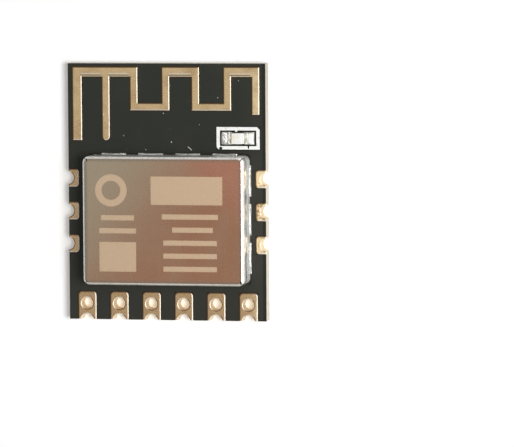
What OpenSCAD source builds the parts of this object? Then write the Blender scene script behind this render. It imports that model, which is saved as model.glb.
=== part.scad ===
// A castellated surface-mount radio module: a small circuit board with a printed meander
// antenna, a row of six plated pin holes, three half-hole pads on each side, a chip LED and
// a folded metal shield can over the radio chip. Millimetres, +Z up from the component side,
// +Y towards the antenna, origin at the middle of the underside.

/* [Board] */
// width of the board, side to side
board_w = 15.5; // [15.2:0.1:17]
// length of the board, from the pin row to the antenna end
board_l = 19.8; // [19.6:0.1:22]
// thickness of the glass-epoxy laminate
laminate_t = 1.1; // [0.7:0.1:1.5]
// thickness of the copper, plating included
copper_t = 0.05; // [0.03:0.01:0.08]
// thickness of the solder mask
mask_t = 0.025; // [0.015:0.005:0.03]
// gap between a bare copper edge and the mask around it
mask_gap = 0.04; // [0.03:0.01:0.07]
// wall of the plating inside a hole
plating_t = 0.05; // [0.03:0.01:0.08]

/* [Pin row] */
// number of pin pads along the front edge
pin_count = 6; // [4:1:6]
// pitch of the pin row
pin_pitch = 2.54; // [2.3:0.02:2.54]
// width of one pin pad
pin_pad_w = 1.42; // [1.3:0.02:1.7]
// length of one pin pad, from the board's edge
pin_pad_l = 2.16; // [2.1:0.02:2.5]
// radius of a pin pad's inner corners
pin_pad_r = 0.3; // [0.1:0.05:0.5]
// radius of a finished pin hole
pin_hole_r = 0.45; // [0.35:0.01:0.5]
// distance of a pin hole's centre from the board's edge
pin_hole_inset = 1.24; // [1.2:0.01:1.4]
// radius of a finished half hole in an edge
notch_r = 0.5; // [0.35:0.01:0.52]
// how far a front half hole's centre lies outside the edge
pin_notch_out = 0.07; // [0:0.01:0.1]

/* [Side pads] */
// number of half-hole pads on each side
side_count = 3; // [1:1:3]
// pitch of the side pads
side_pitch = 2.54; // [2:0.02:2.6]
// how far the side pads' middle lies behind the can's middle
side_behind = 0.57; // [0.2:0.01:0.8]
// height of a side pad along the edge
side_pad_h = 1.36; // [1.2:0.02:1.5]
// depth of a side pad from the edge
side_pad_d = 0.8; // [0.75:0.01:0.9]
// radius of a side pad's inner corners
side_pad_r = 0.25; // [0.1:0.05:0.4]
// how far a side half hole's centre lies outside the edge
side_notch_out = 0.08; // [0:0.01:0.1]

/* [Antenna] */
// distance of the first leg from the board's left side
ant_side = 0.36; // [0.3:0.02:0.5]
// distance of the top bars from the antenna end
ant_end = 0.28; // [0.2:0.02:0.5]
// width of the top bars and of the first leg
ant_bar_w = 0.74; // [0.6:0.02:0.8]
// width of the meander's strips
ant_strip_w = 0.59; // [0.4:0.01:0.65]
// width of the lower bars
ant_low_w = 0.55; // [0.4:0.01:0.65]
// run from the antenna end to the ends of the first leg and the feed
ant_leg_l = 5.93; // [5.6:0.01:5.95]
// run from the antenna end to the lower edge of the lower bars
ant_turn_l = 3.61; // [3:0.01:3.9]
// run from the antenna end to the tip of the last strip
ant_tip_l = 3.92; // [3.6:0.01:4.2]
// first leg's outer side to the middle of the feed strip
ant_feed_run = 2.63; // [2:0.01:2.7]
// middle of the feed strip to the middle of the first strip
ant_first_run = 2.21; // [2:0.01:2.3]
// strip to strip across a lower bar
ant_low_run = 2.5; // [2:0.01:2.6]
// strip to strip across the middle top bar
ant_high_run = 2.33; // [2:0.01:2.4]
// strip to strip across the last top bar
ant_last_run = 2.2; // [2:0.01:2.3]
// distance of the last strip's middle from the board's right side
ant_far_side = 0.77; // [0.7:0.01:1]

/* [Shield can] */
// how far the board reaches past the can at the sides, the mean of left and right
can_side = 1.46; // [1.4:0.02:1.64]
// distance of the can's back wall from the antenna end
can_back = 7.02; // [6.8:0.02:7.2]
// height of the can
can_h = 2.5; // [2.1:0.1:3]
// thickness of the can's sheet
sheet_t = 0.2; // [0.15:0.01:0.25]
// radius of the can's upright corners
can_corner_r = 0.48; // [0.46:0.02:0.8]
// outer radius of the bend along the can's top
can_bend_r = 0.23; // [0.22:0.01:0.32]
// how far the can's middle lies to the right of the board's
can_shift = 0.21; // [0:0.02:0.3]
// distance of the can's front wall from the front edge
can_front = 2.9; // [2.8:0.02:3]
// radius of the relief hole at each top corner
relief_r = 0.13; // [0.08:0.01:0.16]
// width of the slit down each corner
slit_w = 0.07; // [0.04:0.01:0.1]
// width of the copper land under the can's feet
can_land_w = 0.3; // [0.26:0.02:0.5]
// how far that land's tabs, one under each solder bead, reach out from the can
can_land_out = 0.1; // [0.08:0.01:0.15]
// height of the solder bead against the can
bead_h = 0.13; // [0.08:0.01:0.2]
// radius of a bead's hollow face as a share of the bead's size
bead_hollow_share = 0.92; // [0.5:0.02:0.94]
// solder beads along a side wall
bead_count = 3; // [2:1:4]
// share of the wall's foot under solder
bead_share = 0.66; // [0.4:0.02:0.8]
// share of the right wall's foot under solder
bead_share_right = 0.8; // [0.5:0.02:0.9]

/* [Indicator] */
// length of the LED's base, end to end
led_l = 1.6; // [1.5:0.02:1.7]
// width of the LED
led_w = 0.84; // [0.7:0.02:0.9]
// thickness of the LED's base
led_base_t = 0.22; // [0.15:0.01:0.3]
// length of the clear lens
led_lens_l = 1.06; // [0.9:0.02:1.1]
// height of the clear lens over its base
led_lens_h = 0.36; // [0.25:0.01:0.5]
// radius of the hollow in the solder at the LED's ends
fillet_r = 0.52; // [0.4:0.02:0.54]
// how far outside the land that hollow's middle stands
fillet_out = 0.35; // [0.35:0.01:0.45]
// how far above the base's plating that hollow's middle stands
fillet_up = 0.3; // [0.28:0.01:0.4]
// how far each end of the lens slopes in from foot to top
led_lens_slope = 0.12; // [0.04:0.01:0.2]
// side of the light-giving die
led_die_s = 0.26; // [0.2:0.01:0.35]
// thickness of the die
led_die_t = 0.12; // [0.08:0.01:0.16]
// thickness of the LED's end plating
led_cap_t = 0.03; // [0.02:0.005:0.04]
// length of each solder land
led_land_l = 0.78; // [0.7:0.01:0.85]
// width of each solder land
led_land_w = 0.94; // [0.84:0.02:1]
// distance between the outer ends of the two lands
led_land_span = 2.54; // [2.4:0.02:2.6]
// the LED's middle to the board's right side
led_side = 2.14; // [2.1:0.01:2.2]
// the LED's middle to the antenna end
led_end = 5.72; // [5.7:0.01:5.8]
// length of the printed frame around the LED
frame_l = 3.36; // [3.2:0.02:3.5]
// width of that frame
frame_w = 1.72; // [1.6:0.02:1.8]
// line width of the frame
frame_line = 0.26; // [0.15:0.01:0.28]
// width of the frame's tick mark
tick_w = 0.17; // [0.1:0.01:0.25]
// distance of the tick's middle to the left of the LED's middle
tick_left = 0.14; // [0:0.02:0.3]
// radius of the bare dot left for a via at the frame's front left corner
via_dot_r = 0.12; // [0.08:0.01:0.14]
// distance of that dot's middle from the frame's front side
via_dot_in = 0.09; // [0.05:0.01:0.11]
// length of the clip across the frame's back right corner
clip_l = 0.3; // [0.2:0.02:0.36]
// width of that clip
clip_w = 0.24; // [0.16:0.02:0.3]
// width of the nick in the frame's front line
nick_w = 0.18; // [0.08:0.02:0.2]
// how deep the nick goes into the line
nick_l = 0.2; // [0.08:0.01:0.22]
// thickness of the printed ink
ink_t = 0.02; // [0.01:0.005:0.03]

/* [Under the can] */
// share of the free width under the can that is left of the radio chip
chip_left_share = 0.44; // [0.2:0.02:0.7]
// share of the free length under the can that is behind the radio chip
chip_back_share = 0.45; // [0.2:0.01:0.7]
// share of the free length beside the crystal that is in front of it
xtal_front_share = 0.25; // [0.1:0.01:0.8]
// side of the radio chip's package
chip_s = 5.0; // [4:0.1:5.4]
// height of the radio chip's package
chip_h = 0.85; // [0.6:0.05:1]
// pitch of the chip's terminals
chip_pitch = 0.5; // [0.4:0.05:0.5]
// terminals along one side of the chip
chip_side_count = 8; // [4:1:8]
// length of one chip terminal
chip_lead_l = 0.4; // [0.3:0.02:0.5]
// width of one chip terminal
chip_lead_w = 0.24; // [0.18:0.01:0.28]
// side of the chip's heat pad
chip_paddle_s = 3.3; // [2.6:0.1:3.4]
// radius of the round first-pin dimple in the chip's top
dimple_r = 0.25; // [0.15:0.01:0.3]
// distance of the dimple's middle from the two sides of its corner
dimple_in = 0.7; // [0.5:0.05:0.9]
// depth of the dimple
dimple_t = 0.06; // [0.03:0.01:0.1]
// thickness of the chip's terminals and heat pad
chip_lead_t = 0.2; // [0.1:0.01:0.25]
// length of the crystal's package
xtal_l = 3.2; // [2.8:0.1:3.4]
// width of the crystal's package
xtal_w = 2.5; // [2:0.1:2.6]
// height of the crystal's ceramic base
xtal_base_h = 0.45; // [0.3:0.05:0.6]
// width of a crystal land
xtal_land_w = 0.9; // [0.7:0.05:1]
// length of a crystal land
xtal_land_l = 1.1; // [0.8:0.05:1.2]
// corner radius of the crystal's base
xtal_corner_r = 0.15; // [0.05:0.01:0.2]
// height of the crystal's metal lid
xtal_lid_h = 0.22; // [0.1:0.01:0.3]
// how far the lid stays inside the base's rim
xtal_rim = 0.15; // [0.1:0.01:0.25]
// length of a chip capacitor, end to end
chipcap_l = 1.0; // [0.8:0.02:1.1]
// width and height of a chip capacitor
chipcap_w = 0.5; // [0.4:0.02:0.6]
// length of a capacitor's end cap
chipcap_end = 0.25; // [0.15:0.01:0.3]
// length of a capacitor's solder land
chipcap_land = 0.5; // [0.4:0.02:0.55]
// how far a capacitor's land reaches past its end cap
chipcap_toe = 0.1; // [0.02:0.01:0.15]
// free space between neighbouring parts under the can
part_gap = 0.5; // [0.3:0.05:0.6]

/* [Hidden] */
$fn = 48;
eps = 0.01;
cut = 1;

// levels, from the underside up
bottom_copper_z = 0;
laminate_z = bottom_copper_z + copper_t;
top_z = laminate_z + laminate_t;
copper_top = top_z + copper_t;
mask_top = top_z + mask_t;

left = -board_w / 2;
right = board_w / 2;
front = -board_l / 2;
back = board_l / 2;

// the pin row, middle on the board's middle
function pin_x(i) = (i - (pin_count - 1) / 2) * pin_pitch;
pin_y = front + pin_hole_inset;
// the side pads, first one nearest the antenna
function side_y(i) = can_y + side_behind + ((side_count - 1) / 2 - i) * side_pitch;

// the antenna's strips, from the left
leg_x = left + ant_side;
// the runs share out the board's width between the two sides' distances
run_scale = (board_w - ant_side - ant_far_side)
    / (ant_feed_run + ant_first_run + 2 * ant_low_run + ant_high_run + ant_last_run);
feed_x = leg_x + run_scale * ant_feed_run;
strip_a = feed_x + run_scale * ant_first_run;
strip_b = strip_a + run_scale * ant_low_run;
strip_c = strip_b + run_scale * ant_high_run;
strip_d = strip_c + run_scale * ant_low_run;
strip_e = strip_d + run_scale * ant_last_run;
bar_y = back - ant_end;

// the can fills what its distances from the board's sides leave
can_w = board_w - 2 * can_side;
can_l = board_l - can_front - can_back;
can_x = can_shift;
can_y = front + can_front + can_l / 2;
// the relief holes stand over the inner corners of the can's walls
relief_in = can_corner_r - (can_corner_r - sheet_t) / sqrt(2);

led_x = right - led_side;
led_y = back - led_end;

// the parts under the can are set out from the can's inner walls and from each other
in_left = can_x - can_w / 2 + sheet_t;
in_right = can_x + can_w / 2 - sheet_t;
in_front = can_y - can_l / 2 + sheet_t;
in_back = can_y + can_l / 2 - sheet_t;
chipcap_reach = chipcap_l + 2 * chipcap_toe;
free_w = in_right - in_left - chip_s - 2 * part_gap - chipcap_reach - xtal_w;
free_l = in_back - in_front - chip_s - 2 * part_gap - chipcap_w;
chip_x = in_left + chip_left_share * free_w + chip_s / 2;
chip_y = in_back - chip_back_share * free_l - chip_s / 2;
column_x = chip_x + chip_s / 2 + part_gap + chipcap_reach / 2;
xtal_x = column_x + chipcap_reach / 2 + part_gap + xtal_w / 2;
xtal_y = in_front + xtal_front_share * (in_back - in_front - xtal_l) + xtal_l / 2;
passive_count = 6;
column_count = 4;
// four capacitors in a column beside the chip and two in front of it
function passive_x(i) = i < column_count ? column_x
    : chip_x - chip_s / 2 + chipcap_reach / 2 + (i - column_count) * (chipcap_reach + 2 * part_gap);
function passive_y(i) = i < column_count ? chip_y + chip_s / 2 - chipcap_w / 2 - i * (chipcap_w + 1.5 * part_gap)
    : chip_y - chip_s / 2 - 2 * part_gap - chipcap_w / 2;

// ---- plan outlines ----

// a rectangle with all four corners rounded, about its middle
module round_rect(w, l, r) {
    square([w - 2 * r, l], center = true);
    square([w, l - 2 * r], center = true);
    for (sx = [-1, 1], sy = [-1, 1])
        translate([sx * (w / 2 - r), sy * (l / 2 - r)]) circle(r);
}

// a pad that starts on an edge along X and runs inwards along +Y, its inner corners rounded
module tongue(w, l, r) {
    translate([-w / 2, 0]) square([w, l - r]);
    translate([-w / 2 + r, 0]) square([w - 2 * r, l]);
    for (sx = [-1, 1]) translate([sx * (w / 2 - r), l - r]) circle(r);
}

// moves a pad from the origin's edge to its place on the board
module at_pin(i) translate([pin_x(i), front]) children();
module at_west(i) translate([left, side_y(i)]) rotate(-90) children();
module at_east(i) translate([right, side_y(i)]) rotate(90) children();

// every half hole, grown by g beyond its finished radius
module notches(g) {
    for (i = [0:pin_count - 1]) at_pin(i) translate([0, -pin_notch_out]) circle(notch_r + g);
    for (i = [0:side_count - 1]) {
        at_west(i) translate([0, -side_notch_out]) circle(notch_r + g);
        at_east(i) translate([0, -side_notch_out]) circle(notch_r + g);
    }
}

// every pin hole, grown by g beyond its finished radius
module pin_holes(g) for (i = [0:pin_count - 1]) translate([pin_x(i), pin_y]) circle(pin_hole_r + g);

// the edge pads' plan with a margin of g all round, past the board's edge too
module edge_pads(g) {
    for (i = [0:pin_count - 1]) at_pin(i) translate([0, -cut]) tongue(pin_pad_w + 2 * g, pin_pad_l + g + cut, pin_pad_r + g);
    for (i = [0:side_count - 1]) {
        at_west(i) translate([0, -cut]) tongue(side_pad_h + 2 * g, side_pad_d + g + cut, side_pad_r + g);
        at_east(i) translate([0, -cut]) tongue(side_pad_h + 2 * g, side_pad_d + g + cut, side_pad_r + g);
    }
}

// an upright antenna strip about x, from the top bars down to y = back - run
module strip(x, w, run, g) translate([x - w / 2 - g, back - run - g]) square([w + 2 * g, run - ant_end + 2 * g]);
// a bar between two strips, with its upper side at y
module bar(x0, x1, y, w, g) translate([x0 - g, y - w - g]) square([x1 - x0 + 2 * g, w + 2 * g]);

// the antenna's plan with a margin of g all round
module antenna_plan(g) {
    h = ant_strip_w / 2;
    strip(leg_x + ant_bar_w / 2, ant_bar_w, ant_leg_l, g);
    strip(feed_x, ant_strip_w, ant_leg_l - h, g);
    translate([feed_x, back - ant_leg_l + h]) circle(h + g);
    bar(leg_x, strip_a + h, bar_y, ant_bar_w, g);
    strip(strip_a, ant_strip_w, ant_turn_l, g);
    bar(strip_a - h, strip_b + h, back - ant_turn_l + ant_low_w, ant_low_w, g);
    strip(strip_b, ant_strip_w, ant_turn_l, g);
    bar(strip_b - h, strip_c + h, bar_y, ant_bar_w, g);
    strip(strip_c, ant_strip_w, ant_turn_l, g);
    bar(strip_c - h, strip_d + h, back - ant_turn_l + ant_low_w, ant_low_w, g);
    strip(strip_d, ant_strip_w, ant_turn_l, g);
    bar(strip_d - h, strip_e + h, bar_y, ant_bar_w, g);
    strip(strip_e, ant_strip_w, ant_tip_l, g);
}

// the shield can's plan, grown by g
module can_plan(g) translate([can_x, can_y]) round_rect(can_w + 2 * g, can_l + 2 * g, can_corner_r + g);

// the ring that the can's feet stand on and its tabs, grown by g
module can_land_plan(g) {
    difference() {
        can_plan(g);
        can_plan(-can_land_w - g);
    }
    each_wall() bead_row($wall, $beads, $share) translate([can_land_out / 2, 0])
        square([can_land_out + 2 * g, $long + 2 * g], center = true);
}

// for each wall of the can: its foot's middle, its length, its solder beads and the share of it that they cover
module each_wall() translate([can_x, can_y]) {
    translate([can_w / 2, 0]) { $wall = can_l; $beads = bead_count; $share = bead_share_right; children(); }
    translate([-can_w / 2, 0]) rotate(180) { $wall = can_l; $beads = bead_count; $share = bead_share; children(); }
    translate([0, can_l / 2]) rotate(90) { $wall = can_w; $beads = bead_count + 1; $share = bead_share; children(); }
    translate([0, -can_l / 2]) rotate(-90) { $wall = can_w; $beads = bead_count; $share = bead_share; children(); }
}
// the places of n beads along the straight part of a wall, each $long long
module bead_row(wall, n, share) {
    run = (wall - 2 * can_corner_r) / n;
    $long = run * share;
    for (i = [0:n - 1]) translate([0, (i - (n - 1) / 2) * run]) children();
}

// one of the LED's two lands, s = -1 on the left
module led_land_plan(s, g) translate([led_x + s * (led_land_span - led_land_l) / 2, led_y])
    square([led_land_l + 2 * g, led_land_w + 2 * g], center = true);

// a land for each chip terminal, and one for the heat pad
module chip_land_plan(g) translate([chip_x, chip_y]) {
    square([chip_paddle_s + 2 * g, chip_paddle_s + 2 * g], center = true);
    for (a = [0:90:270]) rotate(a) chip_row() square([chip_lead_w + 2 * g, chip_lead_l + 2 * g], center = true);
}
// the terminals' places along one side of the chip
module chip_row() for (i = [0:chip_side_count - 1])
    translate([(i - (chip_side_count - 1) / 2) * chip_pitch, (chip_s - chip_lead_l) / 2]) children();

// the crystal's four lands
module crystal_land_plan(g) translate([xtal_x, xtal_y]) for (sx = [-1, 1], sy = [-1, 1])
    translate([sx * (xtal_w - xtal_land_w) / 2, sy * (xtal_l - xtal_land_l) / 2])
        square([xtal_land_w + 2 * g, xtal_land_l + 2 * g], center = true);

// two lands for each capacitor
module passive_land_plan(g) for (i = [0:passive_count - 1], s = [-1, 1])
    translate([passive_x(i) + s * (chipcap_reach - chipcap_land) / 2, passive_y(i)])
        square([chipcap_land + 2 * g, chipcap_w + 2 * g], center = true);

// ---- board ----

module laminate() color([0.80, 0.76, 0.66]) translate([0, 0, laminate_z]) linear_extrude(laminate_t) difference() {
    square([board_w, board_l], center = true);
    notches(plating_t);
    pin_holes(plating_t);
}

module mask_top_side() color([0.17, 0.18, 0.16]) translate([0, 0, top_z]) linear_extrude(mask_t) difference() {
    square([board_w, board_l], center = true);
    edge_pads(mask_gap);
    antenna_plan(mask_gap);
    can_land_plan(mask_gap);
    for (s = [-1, 1]) led_land_plan(s, mask_gap);
    chip_land_plan(mask_gap);
    crystal_land_plan(mask_gap);
    passive_land_plan(mask_gap);
}

module mask_under_side() color([0.17, 0.18, 0.16]) translate([0, 0, laminate_z - mask_t]) linear_extrude(mask_t) difference() {
    square([board_w, board_l], center = true);
    edge_pads(mask_gap);
}

module antenna() color([0.73, 0.60, 0.42]) translate([0, 0, top_z]) linear_extrude(copper_t) antenna_plan(0);

// the plated wall of a hole or half hole of finished radius r, between the two copper faces
module barrel(r) difference() {
    translate([0, 0, bottom_copper_z]) cylinder(h = copper_top - bottom_copper_z, r = r + plating_t);
    translate([0, 0, bottom_copper_z - cut]) cylinder(h = copper_top + 2 * cut, r = r);
}

// both faces of a pad: the copper on top and the one underneath
module both_faces() {
    translate([0, 0, top_z]) linear_extrude(copper_t) children();
    translate([0, 0, bottom_copper_z]) linear_extrude(copper_t) children();
}

// a pin pad: a tongue on each face, joined through its hole and over the half hole in the edge
module pin_pad() color([0.73, 0.60, 0.42]) {
    both_faces() difference() {
        tongue(pin_pad_w, pin_pad_l, pin_pad_r);
        translate([0, pin_hole_inset]) circle(pin_hole_r);
        translate([0, -pin_notch_out]) circle(notch_r);
    }
    translate([0, pin_hole_inset]) barrel(pin_hole_r);
    half_barrel(pin_notch_out);
}

// the plated wall of a half hole, kept to the board's side of the edge
module half_barrel(out) intersection() {
    translate([0, -out]) barrel(notch_r);
    translate([-notch_r - cut, 0, bottom_copper_z - cut]) cube([2 * (notch_r + cut), notch_r + cut, copper_top + 2 * cut]);
}

module side_pad() color([0.73, 0.60, 0.42]) {
    both_faces() difference() {
        tongue(side_pad_h, side_pad_d, side_pad_r);
        translate([0, -side_notch_out]) circle(notch_r);
    }
    half_barrel(side_notch_out);
}

module pin_pad_n(i) if (i < pin_count) at_pin(i) pin_pad();
module side_pad_west(i) if (i < side_count) at_west(i) side_pad();
module side_pad_east(i) if (i < side_count) at_east(i) side_pad();

// ---- shield can ----

// a block with upright corners of radius rc and a rolled top edge of radius rb
module rolled_block(w, l, h, rc, rb) {
    linear_extrude(h - rb) round_rect(w, l, rc);
    linear_extrude(h) round_rect(w - 2 * rb, l - 2 * rb, rc - rb);
    for (s = [-1, 1]) {
        translate([s * (w / 2 - rb), 0, h - rb]) rotate([90, 0, 0]) cylinder(h = l - 2 * rc, r = rb, center = true);
        translate([0, s * (l / 2 - rb), h - rb]) rotate([0, 90, 0]) cylinder(h = w - 2 * rc, r = rb, center = true);
    }
    for (sx = [-1, 1], sy = [-1, 1])
        translate([sx * (w / 2 - rc), sy * (l / 2 - rc), h - rb]) rotate_extrude() translate([rc - rb, 0]) circle(rb);
}

module shield_can() color([0.64, 0.47, 0.39]) translate([can_x, can_y, copper_top]) difference() {
    rolled_block(can_w, can_l, can_h, can_corner_r, can_bend_r);
    translate([0, 0, -cut]) linear_extrude(can_h - sheet_t + cut)
        round_rect(can_w - 2 * sheet_t, can_l - 2 * sheet_t, can_corner_r - sheet_t);
    // where two walls meet: a relief hole in the top's corner and a slit down the corner below it
    for (sx = [-1, 1], sy = [-1, 1]) translate([sx * (can_w / 2 - relief_in), sy * (can_l / 2 - relief_in), 0]) {
        translate([0, 0, can_h - sheet_t - cut]) cylinder(h = sheet_t + 2 * cut, r = relief_r);
        rotate(sy * (90 - sx * 45)) translate([-slit_w, -slit_w / 2, -cut])
            cube([can_corner_r + slit_w, slit_w, can_h + 2 * cut]);
    }
}

module can_land() color([0.80, 0.80, 0.79]) translate([0, 0, top_z]) linear_extrude(copper_t) can_land_plan(0);

// a bead of solder along a wall's foot, of length l, with its back against the wall
module bead(l) rotate([90, 0, 0]) translate([0, 0, -l / 2]) linear_extrude(l) difference() {
    square([can_land_out, bead_h]);
    translate([can_land_out, bead_h]) circle(min(can_land_out, bead_h) * bead_hollow_share);
}

module can_solder() color([0.80, 0.80, 0.79]) translate([0, 0, copper_top])
    each_wall() bead_row($wall, $beads, $share) bead($long);

// ---- indicator ----

led_foot = copper_top + led_cap_t;
led_end_l = (led_l - led_lens_l) / 2;

module led_land(s) color([0.73, 0.60, 0.42]) translate([0, 0, top_z]) linear_extrude(copper_t) led_land_plan(s, 0);

module led_base() color([0.86, 0.85, 0.80]) translate([led_x, led_y, led_foot + led_base_t / 2])
    cube([led_l - 2 * led_cap_t, led_w, led_base_t], center = true);

// plating wrapped over one end of the base: under it, up the end and over the top
module led_cap(s) color([0.80, 0.74, 0.58]) translate([led_x, led_y, copper_top]) mirror([s < 0 ? 1 : 0, 0, 0])
    rotate([90, 0, 0]) translate([0, 0, -led_w / 2]) linear_extrude(led_w) difference() {
        translate([led_l / 2 - led_end_l, 0]) square([led_end_l, led_base_t + 2 * led_cap_t]);
        translate([0, led_cap_t]) square([led_l / 2 - led_cap_t, led_base_t]);
    }

module led_die() color([0.90, 0.85, 0.45]) translate([led_x, led_y, led_foot + led_base_t + led_die_t / 2])
    cube([led_die_s, led_die_s, led_die_t], center = true);

// the moulded lens stands on the base with sloped ends, over the die
module led_lens() color([0.94, 0.94, 0.90]) translate([led_x, led_y, led_foot + led_base_t]) difference() {
    rotate([90, 0, 0]) translate([0, 0, -led_w / 2]) linear_extrude(led_w)
        polygon([[-led_lens_l / 2, 0], [led_lens_l / 2, 0],
                 [led_lens_l / 2 - led_lens_slope, led_lens_h], [-led_lens_l / 2 + led_lens_slope, led_lens_h]]);
    translate([-led_die_s / 2, -led_die_s / 2, -cut]) cube([led_die_s, led_die_s, led_die_t + cut]);
}

// solder from the land's outer end up to the top of the base's plating
module led_solder(s) color([0.78, 0.78, 0.77]) translate([led_x, led_y, copper_top]) mirror([s < 0 ? 1 : 0, 0, 0])
    rotate([90, 0, 0]) translate([0, 0, -led_w / 2]) linear_extrude(led_w) difference() {
        translate([led_l / 2, 0]) square([(led_land_span - led_l) / 2, led_base_t + led_cap_t]);
        translate([led_land_span / 2 + fillet_out, led_base_t + led_cap_t + fillet_up]) circle(fillet_r);
    }

// a printed rectangle round the LED: a tick from its back line, a rounded front left corner with a bare via dot,
// a clipped back right corner and a nick in the front line
module led_frame() color([0.93, 0.93, 0.91]) translate([led_x, led_y, mask_top]) linear_extrude(ink_t) difference() {
    union() {
        difference() {
            frame_plan();
            square([frame_l - 2 * frame_line, frame_w - 2 * frame_line], center = true);
        }
        translate([-tick_left - tick_w / 2, led_land_w / 2 + mask_gap]) square([tick_w, (frame_w - led_land_w) / 2 - frame_line]);
    }
    translate([-frame_l / 2 + frame_line + via_dot_r / 2, -frame_w / 2 + via_dot_in]) circle(via_dot_r);
    translate([frame_l / 2, frame_w / 2]) rotate(45) square([clip_l, clip_w], center = true);
    translate([led_l / 2, -frame_w / 2 + frame_line])
        polygon([[-nick_w / 2, nick_w], [nick_w / 2, nick_w], [nick_w / 4, -nick_l], [-nick_w / 4, -nick_l]]);
}
module frame_plan() {
    r = frame_line;
    translate([-frame_l / 2 + r, -frame_w / 2]) square([frame_l - r, frame_w]);
    translate([-frame_l / 2, -frame_w / 2 + r]) square([frame_l, frame_w - r]);
    translate([-frame_l / 2 + r, -frame_w / 2 + r]) circle(r);
}

// ---- radio chip, crystal and capacitors under the can ----

module chip_lands() color([0.73, 0.60, 0.42]) translate([0, 0, top_z]) linear_extrude(copper_t) chip_land_plan(0);

module chip_leads() color([0.75, 0.75, 0.74]) translate([chip_x, chip_y, copper_top])
    for (a = [0:90:270]) rotate(a) chip_row() translate([-chip_lead_w / 2, -chip_lead_l / 2, 0])
        cube([chip_lead_w, chip_lead_l, chip_lead_t]);

module chip_paddle() color([0.75, 0.75, 0.74]) translate([chip_x, chip_y, copper_top + chip_lead_t / 2])
    cube([chip_paddle_s, chip_paddle_s, chip_lead_t], center = true);

// the moulded body is cast round its terminals and heat pad, with a round first-pin dimple
module chip_body() color([0.12, 0.12, 0.12]) translate([chip_x, chip_y, copper_top]) difference() {
    translate([0, 0, chip_h / 2 + eps]) cube([chip_s, chip_s, chip_h - 2 * eps], center = true);
    translate([0, 0, chip_lead_t / 2 - cut / 2]) cube([chip_paddle_s, chip_paddle_s, chip_lead_t + cut], center = true);
    for (a = [0:90:270]) rotate(a) chip_row() translate([-chip_lead_w / 2, -chip_lead_l / 2, -cut])
        cube([chip_lead_w, chip_lead_l + cut, chip_lead_t + cut]);
    translate([-chip_s / 2 + dimple_in, chip_s / 2 - dimple_in, chip_h - dimple_t]) cylinder(h = cut, r = dimple_r);
}

module crystal_lands() color([0.73, 0.60, 0.42]) translate([0, 0, top_z]) linear_extrude(copper_t) crystal_land_plan(0);

module crystal_base() color([0.72, 0.70, 0.66]) translate([xtal_x, xtal_y, copper_top]) linear_extrude(xtal_base_h)
    round_rect(xtal_w, xtal_l, xtal_corner_r);

module crystal_lid() color([0.78, 0.78, 0.77]) translate([xtal_x, xtal_y, copper_top + xtal_base_h]) linear_extrude(xtal_lid_h)
    round_rect(xtal_w - 2 * xtal_rim, xtal_l - 2 * xtal_rim, xtal_corner_r);

module passive_lands() color([0.73, 0.60, 0.42]) translate([0, 0, top_z]) linear_extrude(copper_t) passive_land_plan(0);

module passive_body(i) color([0.62, 0.50, 0.38]) translate([passive_x(i), passive_y(i), copper_top + chipcap_w / 2])
    cube([chipcap_l - 2 * chipcap_end, chipcap_w, chipcap_w], center = true);

module passive_ends(i) color([0.80, 0.80, 0.79]) translate([passive_x(i), passive_y(i), copper_top + chipcap_w / 2])
    for (s = [-1, 1]) translate([s * (chipcap_l - chipcap_end) / 2, 0, 0])
        cube([chipcap_end, chipcap_w, chipcap_w], center = true);

laminate();
mask_top_side();
mask_under_side();
antenna();
pin_pad_n(0);  // pin_pad_1
pin_pad_n(1);  // pin_pad_2
pin_pad_n(2);  // pin_pad_3
pin_pad_n(3);  // pin_pad_4
pin_pad_n(4);  // pin_pad_5
pin_pad_n(5);  // pin_pad_6
side_pad_west(0);  // side_pad_w1
side_pad_west(1);  // side_pad_w2
side_pad_west(2);  // side_pad_w3
side_pad_east(0);  // side_pad_e1
side_pad_east(1);  // side_pad_e2
side_pad_east(2);  // side_pad_e3
can_land();
can_solder();
shield_can();
led_land(-1);  // led_land_w
led_land(1);  // led_land_e
led_base();
led_cap(-1);  // led_cap_w
led_cap(1);  // led_cap_e
led_die();
led_lens();
led_solder(-1);  // led_solder_w
led_solder(1);  // led_solder_e
led_frame();
chip_lands();
chip_leads();
chip_paddle();
chip_body();
crystal_lands();
crystal_base();
crystal_lid();
passive_lands();
passive_body(0);  // passive_1_body
passive_ends(0);  // passive_1_ends
passive_body(1);  // passive_2_body
passive_ends(1);  // passive_2_ends
passive_body(2);  // passive_3_body
passive_ends(2);  // passive_3_ends
passive_body(3);  // passive_4_body
passive_ends(3);  // passive_4_ends
passive_body(4);  // passive_5_body
passive_ends(4);  // passive_5_ends
passive_body(5);  // passive_6_body
passive_ends(5);  // passive_6_ends
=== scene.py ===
"""Dresses the wifi module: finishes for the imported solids, finer forms for some pieces, and the studio."""
import logging
import math
import random
from dataclasses import dataclass, replace
from enum import Enum
from functools import cached_property
from typing import Callable, Sequence, Union

import bmesh
import bpy
from mathutils import Matrix, Vector


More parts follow.
